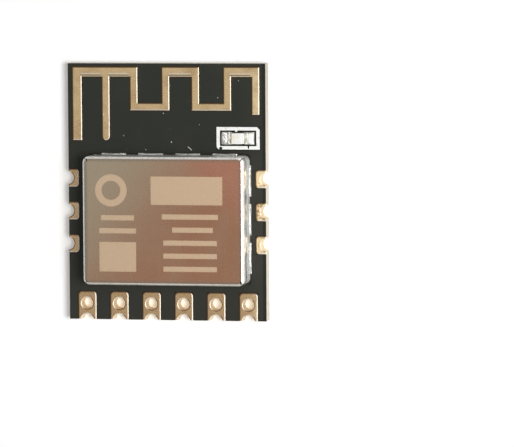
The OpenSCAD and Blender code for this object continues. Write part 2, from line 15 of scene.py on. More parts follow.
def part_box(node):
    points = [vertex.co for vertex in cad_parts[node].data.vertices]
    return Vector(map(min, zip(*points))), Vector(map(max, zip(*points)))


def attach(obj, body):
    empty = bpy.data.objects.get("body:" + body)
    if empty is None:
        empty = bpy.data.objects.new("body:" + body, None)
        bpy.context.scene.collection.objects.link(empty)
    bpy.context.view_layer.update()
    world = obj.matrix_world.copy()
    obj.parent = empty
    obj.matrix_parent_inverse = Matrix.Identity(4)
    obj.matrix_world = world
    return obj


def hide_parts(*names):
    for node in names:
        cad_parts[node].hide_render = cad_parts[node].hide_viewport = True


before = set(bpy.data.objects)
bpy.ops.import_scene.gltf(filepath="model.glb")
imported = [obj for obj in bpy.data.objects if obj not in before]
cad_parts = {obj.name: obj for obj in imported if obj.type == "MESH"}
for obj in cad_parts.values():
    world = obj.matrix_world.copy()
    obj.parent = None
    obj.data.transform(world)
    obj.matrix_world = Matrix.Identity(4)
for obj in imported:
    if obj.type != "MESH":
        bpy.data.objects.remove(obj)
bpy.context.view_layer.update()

# a millimetre and the least length that counts, in metres
MM = 0.001
TINY = 1e-7
# how straight up or down a face has to look to count as level
SQUARE_ON = 0.9
# the angle between two faces, in degrees, above which their edge stays sharp
SMOOTH_BELOW = 35.0
WHITE = (1.0, 1.0, 1.0, 1.0)
EVEN = (1.0, 1.0, 1.0)
LOG = logging.getLogger("wifi_module")

Node = bpy.types.Node
Socket = bpy.types.NodeSocket
Tree = bpy.types.NodeTree
Mesh = bmesh.types.BMesh
Box = tuple[Vector, Vector]
Span = tuple[float, float]
Triple = tuple[float, float, float]
Colour = tuple[float, float, float, float]
Feed = Union[float, Sequence[float], Socket]


class Slot(Enum):
    """The record's material slots."""

    LAMINATE = "laminate"
    MASK = "solder_mask"
    GOLD = "gold"
    CAN = "can_sheet"
    SOLDER = "solder"
    LED_BASE = "led_base"
    LED_PLATING = "led_plating"
    LED_DIE = "led_die"
    LED_LENS = "led_lens"
    INK = "ink"
    MOULD = "mould"
    TIN = "tin"
    CRYSTAL = "crystal_ceramic"
    CAPACITOR = "capacitor_ceramic"


class Side(Enum):
    """The board's sides that carry castellated pads, with the node prefix and the number of pads of each."""

    FRONT = ("pin_pad_", 6)
    WEST = ("side_pad_w", 3)
    EAST = ("side_pad_e", 3)

    def nodes(self) -> list[str]:
        """The names of the side's pads."""
        prefix, count = self.value
        return [f"{prefix}{index}" for index in range(1, count + 1)]


def rgb(red: int, green: int, blue: int) -> Colour:
    """A colour written as screen values, as the linear colour that a shader takes.

    Args:
        red: Red, 0 to 255.
        green: Green, 0 to 255.
        blue: Blue, 0 to 255.

    Returns:
        The linear colour with full alpha.
    """
    def linear(value: float) -> float:
        """One channel of the standard screen curve, undone."""
        return value / 12.92 if value <= 0.04045 else ((value + 0.055) / 1.055) ** 2.4

    return (linear(red / 255), linear(green / 255), linear(blue / 255), 1.0)


def box_of(node: str) -> Box:
    """The lowest and highest corners of a CAD node."""
    low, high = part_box(node)
    return Vector(low), Vector(high)


# ---- node trees ----


class Graph:
    """Adds nodes and links to one node tree."""

    def __init__(self, tree: Tree) -> None:
        """Keeps the tree that every later call adds to."""
        self.tree = tree

    def node(self, kind: str, **settings: object) -> Node:
        """Adds a node.

        Args:
            kind: The node's type name.
            **settings: Properties of the node, set by name.

        Returns:
            The new node.
        """
        made = self.tree.nodes.new(kind)
        for name, value in settings.items():
            setattr(made, name, value)
        return made

    def feed(self, target: Socket, source: Feed) -> None:
        """Links a socket, or sets it where the source is a plain number or colour.

        Args:
            target: The socket.
            source: What feeds it.
        """
        if isinstance(source, Socket):
            self.tree.links.new(source, target)
        else:
            target.default_value = source

    def maths(self, operation: str, *sources: Feed, clamp: bool = False) -> Socket:
        """Adds a Math node.

        Args:
            operation: The Math node's operation.
            *sources: Its inputs, in order.
            clamp: Whether the result is kept between 0 and 1.

        Returns:
            The node's result socket.
        """
        made = self.node("ShaderNodeMath", operation=operation, use_clamp=clamp)
        for index, source in enumerate(sources):
            self.feed(made.inputs[index], source)
        return made.outputs[0]

    def times(self, first: Feed, *others: Feed) -> Feed:
        """Multiplies values.

        Args:
            first: The first value.
            *others: The others.

        Returns:
            Their product.
        """
        for other in others:
            first = self.maths("MULTIPLY", first, other)
        return first

    def blend(self, share: Feed, first: Feed, second: Feed) -> Socket:
        """Mixes two colours.

        Args:
            share: How much of the second colour there is, from 0 to 1.
            first: The first colour.
            second: The second colour.

        Returns:
            The mixed colour's socket.
        """
        made = self.node("ShaderNodeMix", data_type="RGBA")
        for index, source in zip((0, 6, 7), (share, first, second)):
            self.feed(made.inputs[index], source)
        return made.outputs[2]

    def lean(self, share: Feed, first: Feed, second: Feed) -> Socket:
        """Goes from one value to another.

        Args:
            share: How far to go, from 0 to 1.
            first: The value at share 0.
            second: The value at share 1.

        Returns:
            The value's socket.
        """
        made = self.node("ShaderNodeMix", data_type="FLOAT")
        for index, source in zip((0, 2, 3), (share, first, second)):
            self.feed(made.inputs[index], source)
        return made.outputs[0]

    def spread(self, value: Feed, low: Feed, high: Feed, to_low: float = 0.0, to_high: float = 1.0) -> Socket:
        """Stretches a value from one range to another, kept inside the second.

        Args:
            value: The value to stretch.
            low: What becomes to_low.
            high: What becomes to_high.
            to_low: The result at low.
            to_high: The result at high.

        Returns:
            The stretched value's socket.
        """
        made = self.node("ShaderNodeMapRange", interpolation_type="SMOOTHSTEP")
        for index, source in enumerate((value, low, high, to_low, to_high)):
            self.feed(made.inputs[index], source)
        return made.outputs[0]

    def axes(self, vector: Socket) -> tuple[Socket, ...]:
        """Splits a vector.

        Args:
            vector: The vector.

        Returns:
            Its three parts.
        """
        made = self.node("ShaderNodeSeparateXYZ")
        self.feed(made.inputs[0], vector)
        return tuple(made.outputs)

    def stretched(self, vector: Socket, scale: Triple, turn: float = 0.0) -> Socket:
        """Scales and turns pattern coordinates.

        Args:
            vector: The coordinates.
            scale: Scale along X, Y and Z.
            turn: Turn about Z in degrees.

        Returns:
            The new coordinates' socket.
        """
        made = self.node("ShaderNodeMapping")
        self.feed(made.inputs["Vector"], vector)
        made.inputs["Scale"].default_value = scale
        made.inputs["Rotation"].default_value = (0.0, 0.0, math.radians(turn))
        return made.outputs[0]

    def use(self, group: Tree, **sources: Feed) -> Socket:
        """Places a node group.

        Args:
            group: The group's tree.
            **sources: Its inputs by name.

        Returns:
            The group's output.
        """
        made = self.node("ShaderNodeGroup", node_tree=group)
        for name, source in sources.items():
            self.feed(made.inputs[name], source)
        return made.outputs[0]


class Effects:
    """The surface effects that several finishes share, each a node group with named inputs and one mask."""

    def __init__(self) -> None:
        """Builds every group once."""
        self.grain = self._grain()
        self.blotches = self._blotches()
        self.scratches = self._scratches()
        self.specks = self._specks()
        self.bar = self._bar()
        self.disc = self._disc()

    @staticmethod
    def _open(name: str, **defaults: Union[float, Triple]) -> tuple[Graph, Sequence[Socket], Socket]:
        """Starts a group on a vector, with further inputs and one output.

        Args:
            name: The group's name.
            **defaults: The default of each further input, three numbers for a vector.

        Returns:
            The graph, the group's inputs and its output, each as the nodes inside see them.
        """
        tree = bpy.data.node_groups.new(name, "ShaderNodeTree")
        for label, default in {"vector": (0.0, 0.0, 0.0), **defaults}.items():
            kind = "NodeSocketVector" if isinstance(default, tuple) else "NodeSocketFloat"
            socket = tree.interface.new_socket(name=label, in_out="INPUT", socket_type=kind)
            socket.default_value = default
        tree.interface.new_socket(name="mask", in_out="OUTPUT", socket_type="NodeSocketFloat")
        graph = Graph(tree)
        return graph, graph.node("NodeGroupInput").outputs, graph.node("NodeGroupOutput").inputs[0]

    @staticmethod
    def _cells(graph: Graph, kind: str, vector: Socket, scale: Socket, **settings: float) -> Node:
        """Adds a texture.

        Args:
            graph: The group's graph.
            kind: The texture node's type name.
            vector: The pattern coordinates.
            scale: How many cells a metre holds.
            **settings: Further inputs by name.

        Returns:
            The texture node.
        """
        made = graph.node(kind)
        for name, source in {"Vector": vector, "Scale": scale, **settings}.items():
            graph.feed(made.inputs[name], source)
        return made

    def _grain(self) -> Tree:
        """Fine even grain, such as plating or matt ink, as a value round one half.

        Returns:
            The group.
        """
        graph, given, result = self._open("fine_grain", scale=1000.0, contrast=1.0)
        noise = self._cells(graph, "ShaderNodeTexNoise", given["vector"], given["scale"],
                            Detail=4.0, Roughness=0.62)
        off = graph.maths("SUBTRACT", noise.outputs[0], 0.5)
        graph.feed(result, graph.maths("MULTIPLY_ADD", off, given["contrast"], 0.5, clamp=True))
        return graph.tree

    def _blotches(self) -> Tree:
        """Large soft patches, as a mask from 0 to 1.

        Returns:
            The group.
        """
        graph, given, result = self._open("soft_blotches", scale=100.0, low=0.4, high=0.6)
        noise = self._cells(graph, "ShaderNodeTexNoise", given["vector"], given["scale"],
                            Detail=2.0, Distortion=0.4)
        graph.feed(result, graph.spread(noise.outputs[0], given["low"], given["high"]))
        return graph.tree

    def _scratches(self) -> Tree:
        """Hair-fine streaks along the pattern's X, as a mask from 0 to 1.

        Returns:
            The group.
        """
        graph, given, result = self._open("hair_scratches", scale=1000.0, rarity=0.66)
        thin = graph.stretched(given["vector"], (0.035, 1.0, 1.0))
        noise = self._cells(graph, "ShaderNodeTexNoise", thin, given["scale"], Detail=2.0)
        top = graph.maths("ADD", given["rarity"], 0.08)
        graph.feed(result, graph.spread(noise.outputs[0], given["rarity"], top))
        return graph.tree

    def _specks(self) -> Tree:
        """Small scattered dots, as a mask from 0 to 1.

        Returns:
            The group.
        """
        graph, given, result = self._open("small_specks", scale=1000.0, dot=0.12)
        cells = self._cells(graph, "ShaderNodeTexVoronoi", given["vector"], given["scale"])
        inner = graph.times(given["dot"], 0.5)
        graph.feed(result, graph.spread(cells.outputs["Distance"], inner, given["dot"], 1.0, 0.0))
        return graph.tree

    def _bar(self) -> Tree:
        """One upright-edged rectangle seen from above with slightly soft edges, as a mask.

        Returns:
            The group.
        """
        graph, given, result = self._open("plain_bar", centre=(0.0, 0.0, 0.0), half_width=0.001,
                                          half_height=0.001, soft=0.00003)
        spot, centre = graph.axes(given["vector"]), graph.axes(given["centre"])
        inside = []
        for axis, half in enumerate(("half_width", "half_height")):
            away = graph.maths("ABSOLUTE", graph.maths("SUBTRACT", spot[axis], centre[axis]))
            depth = graph.maths("SUBTRACT", given[half], away)
            inside.append(graph.maths("DIVIDE", depth, given["soft"], clamp=True))
        graph.feed(result, graph.times(*inside))
        return graph.tree

    def _disc(self) -> Tree:
        """One ring or disc seen from above with slightly soft edges, as a mask.

        Returns:
            The group.
        """
        graph, given, result = self._open("plain_disc", centre=(0.0, 0.0, 0.0), outer=0.001, inner=0.0,
                                          soft=0.00003)
        flat = graph.stretched(given["vector"], (1.0, 1.0, 0.0))
        gap = graph.node("ShaderNodeVectorMath", operation="DISTANCE")
        graph.feed(gap.inputs[0], flat)
        graph.feed(gap.inputs[1], given["centre"])
        reach = gap.outputs["Value"]
        edges = ((given["outer"], reach), (reach, given["inner"]))
        graph.feed(result, graph.times(*(
            graph.maths("DIVIDE", graph.maths("SUBTRACT", *edge), given["soft"], clamp=True)
            for edge in edges)))
        return graph.tree


# ---- finishes ----


@dataclass(frozen=True)
class Field:
    """One plain rectangle seen from above: its middle, width and height in millimetres."""

    x: float
    y: float
    width: float
    height: float

    @staticmethod
    def over(box: Box, spare: float = 0.0) -> "Field":
        """The field over a box.

        Args:
            box: The box in metres.
            spare: How many millimetres the field stays inside its edges.

        Returns:
            The field.
        """
        low, high = (corner / MM for corner in box)
        middle, size = (low + high) / 2, high - low
        return Field(middle.x, middle.y, size.x - 2 * spare, size.y - 2 * spare)

    def beside(self, middle: Vector) -> "Field":
        """The same field, its place counted from a middle in metres."""
        return replace(self, x=self.x + middle.x / MM, y=self.y + middle.y / MM)


class Coat:
    """A material in the making: its shader, where the surface lies and looks, and what is laid so far."""

    def __init__(self, name: str, effects: Effects) -> None:
        """Starts the material.

        Args:
            name: The material's name.
            effects: The effects that it may place.
        """
        self.effects = effects
        self.material = bpy.data.materials.new(name)
        self.material.use_nodes = True
        self.material.node_tree.nodes.clear()
        self.graph = Graph(self.material.node_tree)
        self.shader = self.graph.node("ShaderNodeBsdfPrincipled")
        output = self.graph.node("ShaderNodeOutputMaterial")
        self.graph.feed(output.inputs["Surface"], self.shader.outputs[0])
        self.place = self.graph.node("ShaderNodeTexCoord").outputs["Object"]
        self.colour: Feed = WHITE
        self.rough: Feed = 1.0
        self.metal: Feed = 0.0

    @cached_property
    def spot(self) -> tuple[Socket, ...]:
        """Where the surface lies: to the right, to the back and up."""
        return self.graph.axes(self.place)

    @cached_property
    def facing(self) -> tuple[Socket, ...]:
        """Where the surface looks: how far to the right, to the back and up."""
        return self.graph.axes(self.graph.node("ShaderNodeNewGeometry").outputs["Normal"])

    def pattern(self, effect: Tree, size: float, stretch: Triple = EVEN, turn: float = 0.0,
                **values: float) -> Socket:
        """Places a shared effect.

        Args:
            effect: The effect.
            size: The width of one of its cells in millimetres.
            stretch: The pattern's scale along X, Y and Z.
            turn: Its turn about Z in degrees.
            **values: The effect's other inputs.

        Returns:
            The effect's mask.
        """
        where = self.place
        if turn or stretch != EVEN:
            where = self.graph.stretched(where, stretch, turn)
        return self.graph.use(effect, vector=where, scale=1.0 / (size * MM), **values)

    def grain(self, size: float, contrast: float, stretch: Triple = EVEN) -> Socket:
        """Fine grain of a size in millimetres."""
        return self.pattern(self.effects.grain, size, stretch, contrast=contrast)

    def blotches(self, size: float, low: float, high: float, stretch: Triple = EVEN) -> Socket:
        """Soft patches of a size in millimetres, none below the low noise and full above the high."""
        return self.pattern(self.effects.blotches, size, stretch, low=low, high=high)

    def scratches(self, size: float, rarity: float, turn: float) -> Socket:
        """Hair scratches of a width in millimetres, turned by degrees."""
        return self.pattern(self.effects.scratches, size, turn=turn, rarity=rarity)

    def disc(self, x: float, y: float, outer: float, inner: float = -0.3, soft: float = 0.03) -> Socket:
        """A ring seen from above, or a disc where the inner radius is negative, in millimetres."""
        return self.graph.use(self.effects.disc, vector=self.place, centre=(x * MM, y * MM, 0.0),
                              outer=outer * MM, inner=inner * MM, soft=soft * MM)

    def bars(self, fields: Sequence[Field], soft: float = 0.03, mask: Feed = 0.0) -> Feed:
        """Adds plain fields to a mask.

        Args:
            fields: The fields.
            soft: The width of their soft edges in millimetres.
            mask: The mask so far.

        Returns:
            The fuller mask.
        """
        for one in fields:
            mask = self.graph.maths("MAXIMUM", mask, self.graph.use(
                self.effects.bar, vector=self.place, centre=(one.x * MM, one.y * MM, 0.0),
                half_width=one.width / 2 * MM, half_height=one.height / 2 * MM, soft=soft * MM))
        return mask

    def ramp(self, length: Feed, span: Span, first: float = 0.0, last: float = 1.0) -> Socket:
        """A value that goes from first to last while a length passes a span in millimetres."""
        return self.graph.spread(length, span[0] * MM, span[1] * MM, first, last)

    def band(self, length: Feed, rise: Span, fall: Span) -> Feed:
        """A mask that comes up over one span in millimetres and goes down over another."""
        return self.graph.times(self.ramp(length, rise), self.ramp(length, fall, 1.0, 0.0))

    def lay(self, tone: Feed, mask: Feed, share: float = 1.0) -> None:
        """Lays a tone over the colour so far, where the mask lets it and by that share."""
        mask = mask if share == 1.0 else self.graph.times(mask, share)
        self.colour = self.graph.blend(mask, self.colour, tone)

    def give(self, **inputs: Feed) -> None:
        """Gives the shader what is laid.

        Args:
            **inputs: Further inputs, named with underscores for spaces.
        """
        sockets = {socket.name.replace(" ", "_").lower(): socket for socket in self.shader.inputs}
        laid = {"base_color": self.colour, "roughness": self.rough, "metallic": self.metal}
        for name, source in {**laid, **inputs}.items():
            self.graph.feed(sockets[name], source)

    def relief(self, height: Feed, depth: float) -> Socket:
        """Raises the surface.

        Args:
            height: The height of the relief.
            depth: How many millimetres a height of 1 is.

        Returns:
            The raised surface's normals.
        """
        bump = self.graph.node("ShaderNodeBump")
        for name, source in {"Strength": 1.0, "Distance": depth * MM, "Height": height}.items():
            self.graph.feed(bump.inputs[name], source)
        return bump.outputs[0]


@dataclass(frozen=True)
class Finish:
    """What every finish shares: a grain that makes it rougher and smoother, its shine and its relief."""

    name: str
    grain: Span = (0.06, 1.3)
    grain_stretch: Triple = EVEN
    grain_span: Span = (0.2, 0.8)
    rough: Span = (0.5, 0.7)
    specular: float = 0.5
    depth: float = 0.008
    clear: float = 0.0

    def material(self, effects: Effects) -> bpy.types.Material:
        """Builds the material.

        Args:
            effects: The effects that it may place.

        Returns:
            The material.
        """
        coat = Coat(self.name, effects)
        grain = coat.grain(*self.grain, stretch=self.grain_stretch)
        coat.rough = coat.graph.spread(grain, *self.grain_span, *self.rough)
        height = self.paint(coat, grain)
        coat.give(specular_ior_level=self.specular, transmission_weight=self.clear,
                  normal=coat.relief(height, self.depth))
        return coat.material

    def paint(self, coat: Coat, grain: Socket) -> Feed:
        """Lays the finish on a coat.

        Args:
            coat: The coat.
            grain: The finish's grain on it.

        Returns:
            The height of the relief.
        """
        raise NotImplementedError


@dataclass(frozen=True)
class MaskFinish(Finish):
    """Matt black solder mask: a faint warm cast, rubbed patches, lint, a painted sheen towards the front and
    right, and painted shade in fringes round the pads, the can and the printed frame and near the board's
    right edge.
    """

    dark: Colour = rgb(33, 36, 29)
    worn_and_lit: Colour = rgb(47, 47, 40)
    lint: Colour = rgb(120, 120, 112)
    # tone of the painted shade round the can, the printed frame and near the board's right edge
    edge: Colour = rgb(20, 18, 12)
    # a dark brown fringe round the pads: bare laminate tone and painted shade in the gap where the mask ends
    bared_and_shaded: Colour = rgb(40, 27, 8)
    shaded_strip: Span = (7.42, 7.56)
    # spans of a painted sheen: the mask lighter towards the front and towards the right
    lit_forward: Span = (3.4, -9.0)
    lit_rightward: Span = (5.2, 7.6)
    rubbed: Triple = (3.2, 0.45, 0.75)
    lint_size: float = 0.9
    lint_dot: float = 0.05
    shade_ringed: tuple[Field, ...] = ()
    shade_ring_width: float = 0.14
    pads: tuple[Field, ...] = ()
    bared_and_shaded_width: float = 0.12
    grain: Span = (0.11, 1.4)
    rough: Span = (0.42, 0.62)
    specular: float = 0.22
    depth: float = 0.006

    def paint(self, coat: Coat, grain: Socket) -> Feed:
        """Lays the rubbed tones with a painted sheen towards the front and right, and lint, then the fringes
        round the pads, the can and the printed frame: painted shade, with bare laminate tone at the pads.

        Args:
            coat: The coat.
            grain: The finish's grain on it.

        Returns:
            The height of the relief.
        """
        graph = coat.graph
        x, y, _ = coat.spot
        # a painted sheen, lighter towards the front and the right, mixed with the rubbed patches
        sides = graph.maths("ADD", coat.ramp(y, self.lit_forward, 0.0, 0.45),
                            coat.ramp(x, self.lit_rightward, 0.0, 0.5))
        coat.colour = self.dark
        coat.lay(self.worn_and_lit, graph.maths("MULTIPLY_ADD", coat.blotches(*self.rubbed), 0.35, sides, clamp=True))
        coat.lay(self.worn_and_lit, graph.spread(grain, *self.grain_span, 0.0, 0.3))
        coat.lay(self.lint, coat.pattern(coat.effects.specks, self.lint_size, dot=self.lint_dot), 0.35)
        # round each pad a dark brown fringe: bare laminate tone with painted shade
        coat.lay(self.bared_and_shaded, coat.bars(self.pads, self.bared_and_shaded_width))
        # painted shade on faces that look up: a fringe round the can and the printed frame, and a strip near
        # the board's right edge
        edges = coat.bars(self.shade_ringed, self.shade_ring_width, coat.ramp(x, self.shaded_strip, 0.0, 0.8))
        coat.lay(self.edge, graph.times(graph.spread(coat.facing[2], 0.0, 0.5), edges))
        return grain


@dataclass(frozen=True)
class LaminateFinish(Finish):
    """Routed edge of glass-epoxy: pale resin, glass cloth and cut fibre ends; dark where it shows on top."""

    pale: Colour = rgb(236, 228, 211)
    dull: Colour = rgb(203, 195, 178)
    face: Colour = rgb(44, 33, 15)
    ply: float = 0.19
    cloth: Span = (0.8, 1.0)
    wander: float = 0.08
    duller_back: Span = (2.0, 9.5)
    grain: Span = (0.05, 2.2)
    grain_stretch: Triple = (1.0, 1.0, 0.3)
    rough: Span = (0.6, 0.85)
    specular: float = 0.3
    depth: float = 0.012

    def paint(self, coat: Coat, grain: Socket) -> Feed:
        """Lays the plies with their cut fibre ends, and the dark tone of the faces that look up or down.

        Args:
            coat: The coat.
            grain: The finish's grain on it.

        Returns:
            The height of the relief.
        """
        graph = coat.graph
        _, y, z = coat.spot
        level = graph.maths("MULTIPLY_ADD", coat.grain(*self.cloth), self.wander * MM, z)
        plies = graph.spread(graph.maths("SINE", graph.times(level, math.tau / (self.ply * MM))), -0.2, 0.9)
        coat.colour = self.pale
        coat.lay(self.dull, graph.times(plies, graph.spread(grain, 0.3, 0.8)))
        coat.lay(self.dull, coat.ramp(y, self.duller_back, 0.0, 0.55))
        coat.lay(self.face, graph.spread(graph.maths("ABSOLUTE", coat.facing[2]), 0.5, 0.9))
        return graph.maths("ADD", plies, grain)


@dataclass(frozen=True)
class GoldFinish(Finish):
    """Thin gold over nickel and copper: matt grain, tarnish, hair scratches, painted light towards the right
    and a painted glint, painted highlight and shade on the rims, mask laps and hole walls painted paler as if
    lit.
    """

    near: Colour = rgb(176, 145, 108)
    far: Colour = rgb(198, 171, 130)
    tarnish: Colour = rgb(146, 113, 76)
    # bright serves pale scratches and grain, and also painted light towards the right and a painted glint
    bright: Colour = rgb(240, 220, 178)
    # hole walls: gold painted paler cream, as if lit
    lit_barrel: Colour = rgb(240, 214, 168)
    # painted highlight and painted shade for the sloped rims
    lit_rim: Colour = rgb(216, 209, 196)
    shaded_rim: Colour = rgb(92, 66, 34)
    lap: Colour = rgb(104, 101, 92)
    paler_back: Span = (2.0, 4.5)
    # painted light: the gold paler towards the right, where the lamp is
    lit_right: Span = (6.2, 7.6)
    tarnished: Triple = (1.3, 0.42, 0.72)
    hairs: Triple = (0.12, 0.68, 31.0)
    crumpled: Triple = (7.2, -1.45, 0.95)
    crumpled_soft: float = 0.2
    crumbs: Triple = (0.16, 0.46, 0.56)
    glint: Triple = (-4.94, 5.98, 0.07)
    laps: tuple[Span, ...] = ((-5.93, 1.62), (-3.74, 1.66), (1.08, 1.76), (5.78, 1.68))
    lap_line: float = 8.94
    lap_width: float = 0.11
    lap_soft: float = 0.04
    lamp_turn: float = -0.7
    sloped_metal: float = 0.2
    grain: Span = (0.07, 1.6)
    rough: Span = (0.24, 0.4)
    depth: float = 0.003

    def paint(self, coat: Coat, grain: Socket) -> Feed:
        """Lays tarnish, scratches and the crumpled pad with painted light towards the right and a painted
        glint, then the rims with painted highlight and shade, the laps with a painted highlight line and the
        hole walls painted paler as if lit.

        Args:
            coat: The coat.
            grain: The finish's grain on it.

        Returns:
            The height of the relief.
        """
        graph = coat.graph
        x, y, _ = coat.spot
        right, back, upright = coat.facing
        coat.colour = self.near
        coat.lay(self.far, coat.ramp(y, self.paler_back))
        # painted light: paler towards the right, where the lamp stands
        coat.lay(self.bright, coat.ramp(x, self.lit_right, 0.0, 0.7))
        coat.lay(self.tarnish, coat.blotches(*self.tarnished), 0.4)
        coat.lay(self.bright, coat.scratches(*self.hairs), 0.5)
        coat.lay(self.bright, graph.spread(grain, 0.35, 0.9, 0.0, 0.25))
        crumpled = graph.times(coat.disc(*self.crumpled, soft=self.crumpled_soft),
                               coat.blotches(*self.crumbs))
        coat.lay(self.tarnish, crumpled, 0.75)
        coat.lay(self.bright, coat.disc(*self.glint))
        level = graph.maths("ABSOLUTE", upright)
        lit_barrel = graph.spread(level, 0.2, 0.6, 1.0, 0.0)
        slope = graph.spread(level, 0.95, 0.985, 0.85, 0.0)
        towards_lamp = graph.maths("MULTIPLY_ADD", back, self.lamp_turn, right)
        # rims turned towards the lamp get a painted highlight, those turned away painted shade
        coat.lay(graph.blend(graph.spread(towards_lamp, -0.12, 0.12), self.shaded_rim, self.lit_rim), slope)
        # along each lap a painted highlight line, then a grey band where the mask laps over the copper
        for middle, length in self.laps:
            for row, tone in ((1.5, self.lit_rim), (0.5, self.lap)):
                strip = Field(middle, self.lap_line + row * self.lap_width, length, self.lap_width)
                coat.lay(tone, coat.bars([strip], self.lap_soft), 0.85)
        # painted light: the hole walls paler cream and less metallic, as if lit
        coat.lay(self.lit_barrel, lit_barrel)
        coat.metal = graph.lean(graph.maths("MAXIMUM", lit_barrel, slope), 1.0, self.sloped_metal)
        coat.rough = graph.maths("MULTIPLY_ADD", slope, 0.2, coat.rough)
        return graph.maths("MULTIPLY_ADD", crumpled, 6.0, grain)


@dataclass(frozen=True)
class CanFinish(Finish):
    """Nickel silver sheet: a painted warm reflection on the brushed top, bright bends and walls with painted
    dark streaks, a painted dark line and band, and plain etched fields.
    """

    middle: Vector = Vector()
    top: float = 0.0
    flat_half: Span = (6.02, 4.68)
    rim_width: float = 0.22
    cool: Colour = rgb(164, 150, 128)
    # warm and rosy: a painted reflection on the top
    warm: Colour = rgb(156, 115, 91)
    rosy_reflection: Colour = rgb(172, 121, 100)
    silver: Colour = rgb(244, 243, 238)
    shade: Colour = rgb(128, 118, 104)
    # painted dark reflection and shade on bends and walls
    painted_dark: Colour = rgb(104, 100, 92)
    # tone of a painted dark band on the walls
    painted_band_shade: Colour = rgb(74, 70, 63)
    etched: Colour = rgb(192, 168, 141)
    # where the painted reflection grows warm, then rosy
    reflection_sweep: Span = (-9.5, 3.2)
    reflection_sweep_turn: float = -0.8
    rosy_reflection_span: Span = (4.0, 9.0)
    clouds: Triple = (2.6, 0.35, 0.75)
    brushed: Triple = (0.09, 0.6, 90.0)
    fields: tuple[Field, ...] = (
        Field(1.85, 2.35, 5.6, 2.2),
        Field(-3.55, 0.25, 2.6, 0.42), Field(-3.55, -0.75, 2.9, 0.42), Field(-3.55, -2.75, 2.9, 2.3),
        Field(2.1, 0.35, 4.4, 0.42), Field(2.3, -0.65, 3.2, 0.42), Field(2.1, -1.65, 4.2, 0.42),
        Field(2.1, -2.65, 4.2, 0.42), Field(2.1, -3.65, 4.2, 0.42))
    ring: tuple[float, float, float, float] = (-4.05, 2.35, 1.25, 0.72)
    dents: Triple = (0.55, 0.4, 0.7)
    breaks: Triple = (0.7, 0.3, 0.6)
    streaks: Triple = (0.3, 0.46, 0.62)
    # depths below the top of a painted dark line, and of a painted dark band
    dark_line_depths: tuple[Span, Span] = ((0.3, 0.42), (0.55, 0.8))
    dark_band: tuple[Span, Span] = ((0.7, 0.85), (1.0, 1.3))
    streaked_below: Span = (0.5, 0.8)
    foot: Span = (1.05, 1.35)
    wall_metal: float = 0.5
    ripple: Span = (1.6, 6.0)
    grain: Span = (0.08, 1.5)
    rough: Span = (0.24, 0.34)
    depth: float = 0.006

    def film(self, coat: Coat, grain: Socket) -> tuple[Feed, Feed]:
        """The flat top's colour: a painted warm and rosy reflection over a cool tone, with etched fields.

        Args:
            coat: The coat.
            grain: Its grain.

        Returns:
            The film's colour and the mask of its etched fields.
        """
        graph = coat.graph
        across, along = (graph.maths("SUBTRACT", axis, middle)
                         for axis, middle in zip(coat.spot, self.middle.xy))
        # a painted reflection: warmer along a slanting sweep, rosy towards the right and back
        coat.colour = self.cool
        slanting = graph.maths("MULTIPLY_ADD", along, self.reflection_sweep_turn, across)
        coat.lay(self.warm, coat.ramp(slanting, self.reflection_sweep))
        coat.lay(self.rosy_reflection, coat.ramp(graph.maths("ADD", across, along), self.rosy_reflection_span))
        coat.lay(self.cool, coat.blotches(*self.clouds), 0.16)
        coat.lay(self.etched, coat.scratches(*self.brushed), 0.08)
        x, y, outer, inner = self.ring
        marks = graph.maths("MAXIMUM", coat.bars([one.beside(self.middle) for one in self.fields]), coat.disc(
            x + self.middle.x / MM, y + self.middle.y / MM, outer, inner))
        coat.lay(self.etched, graph.times(marks, graph.spread(grain, 0.15, 0.6, 0.62, 0.95)))
        rims = (coat.ramp(graph.maths("ABSOLUTE", away), (half - self.rim_width, half))
                for away, half in zip((across, along), self.flat_half))
        coat.lay(self.shade, graph.maths("MAXIMUM", *rims), 0.55)
        return coat.colour, marks

    def paint(self, coat: Coat, grain: Socket) -> Feed:
        """Lays the top with its painted reflection, then the dented silver of bends and walls, a painted dark
        line below the bend with painted dark streaks lower down, a painted dark band and a bright foot.

        Args:
            coat: The coat.
            grain: The finish's grain on it.

        Returns:
            The height of the relief.
        """
        graph = coat.graph
        aside, back, upright = coat.facing
        film, marks = self.film(coat, grain)
        top = graph.spread(upright, 0.93, 0.99)
        rightward = graph.spread(aside, 0.3, 0.7)
        sunk = graph.maths("SUBTRACT", self.top, coat.spot[2])
        dents = coat.blotches(*self.dents)
        breaks = coat.blotches(*self.breaks, stretch=(1.0, 0.45, 1.0))
        streaks = coat.blotches(*self.streaks, stretch=(1.0, 0.35, 1.0))
        foot = graph.times(rightward, coat.ramp(sunk, self.foot), graph.lean(breaks, 1.0, 0.6))
        coat.colour = self.silver
        coat.lay(self.shade, dents, 0.15)
        # painted dark reflection and shade: a line a little below the bend, then streaks lower on the walls
        coat.lay(self.painted_dark, graph.times(coat.band(sunk, *self.dark_line_depths), breaks), 0.6)
        coat.lay(self.painted_dark, graph.times(streaks, coat.ramp(sunk, self.streaked_below, 0.0, 0.4)))
        coat.lay(self.shade, graph.spread(back, -0.75, -0.25, 0.8, 0.0))
        coat.lay(self.silver, foot)
        # a painted dark band across the middle of the walls turned to the right
        dark_band = graph.times(coat.band(sunk, *self.dark_band), rightward, graph.lean(streaks, 0.25, 0.95))
        coat.lay(self.painted_band_shade, dark_band)
        coat.lay(film, top)
        coat.metal = graph.lean(top, graph.lean(foot, self.wall_metal, 0.0), 1.0)
        coat.rough = graph.maths("MULTIPLY_ADD", marks, 0.22, coat.rough)
        ripple = graph.times(dents, graph.maths("SUBTRACT", 1.0, top))
        return graph.maths("MULTIPLY_ADD", ripple, graph.spread(aside, 0.2, 0.6, *self.ripple), grain)


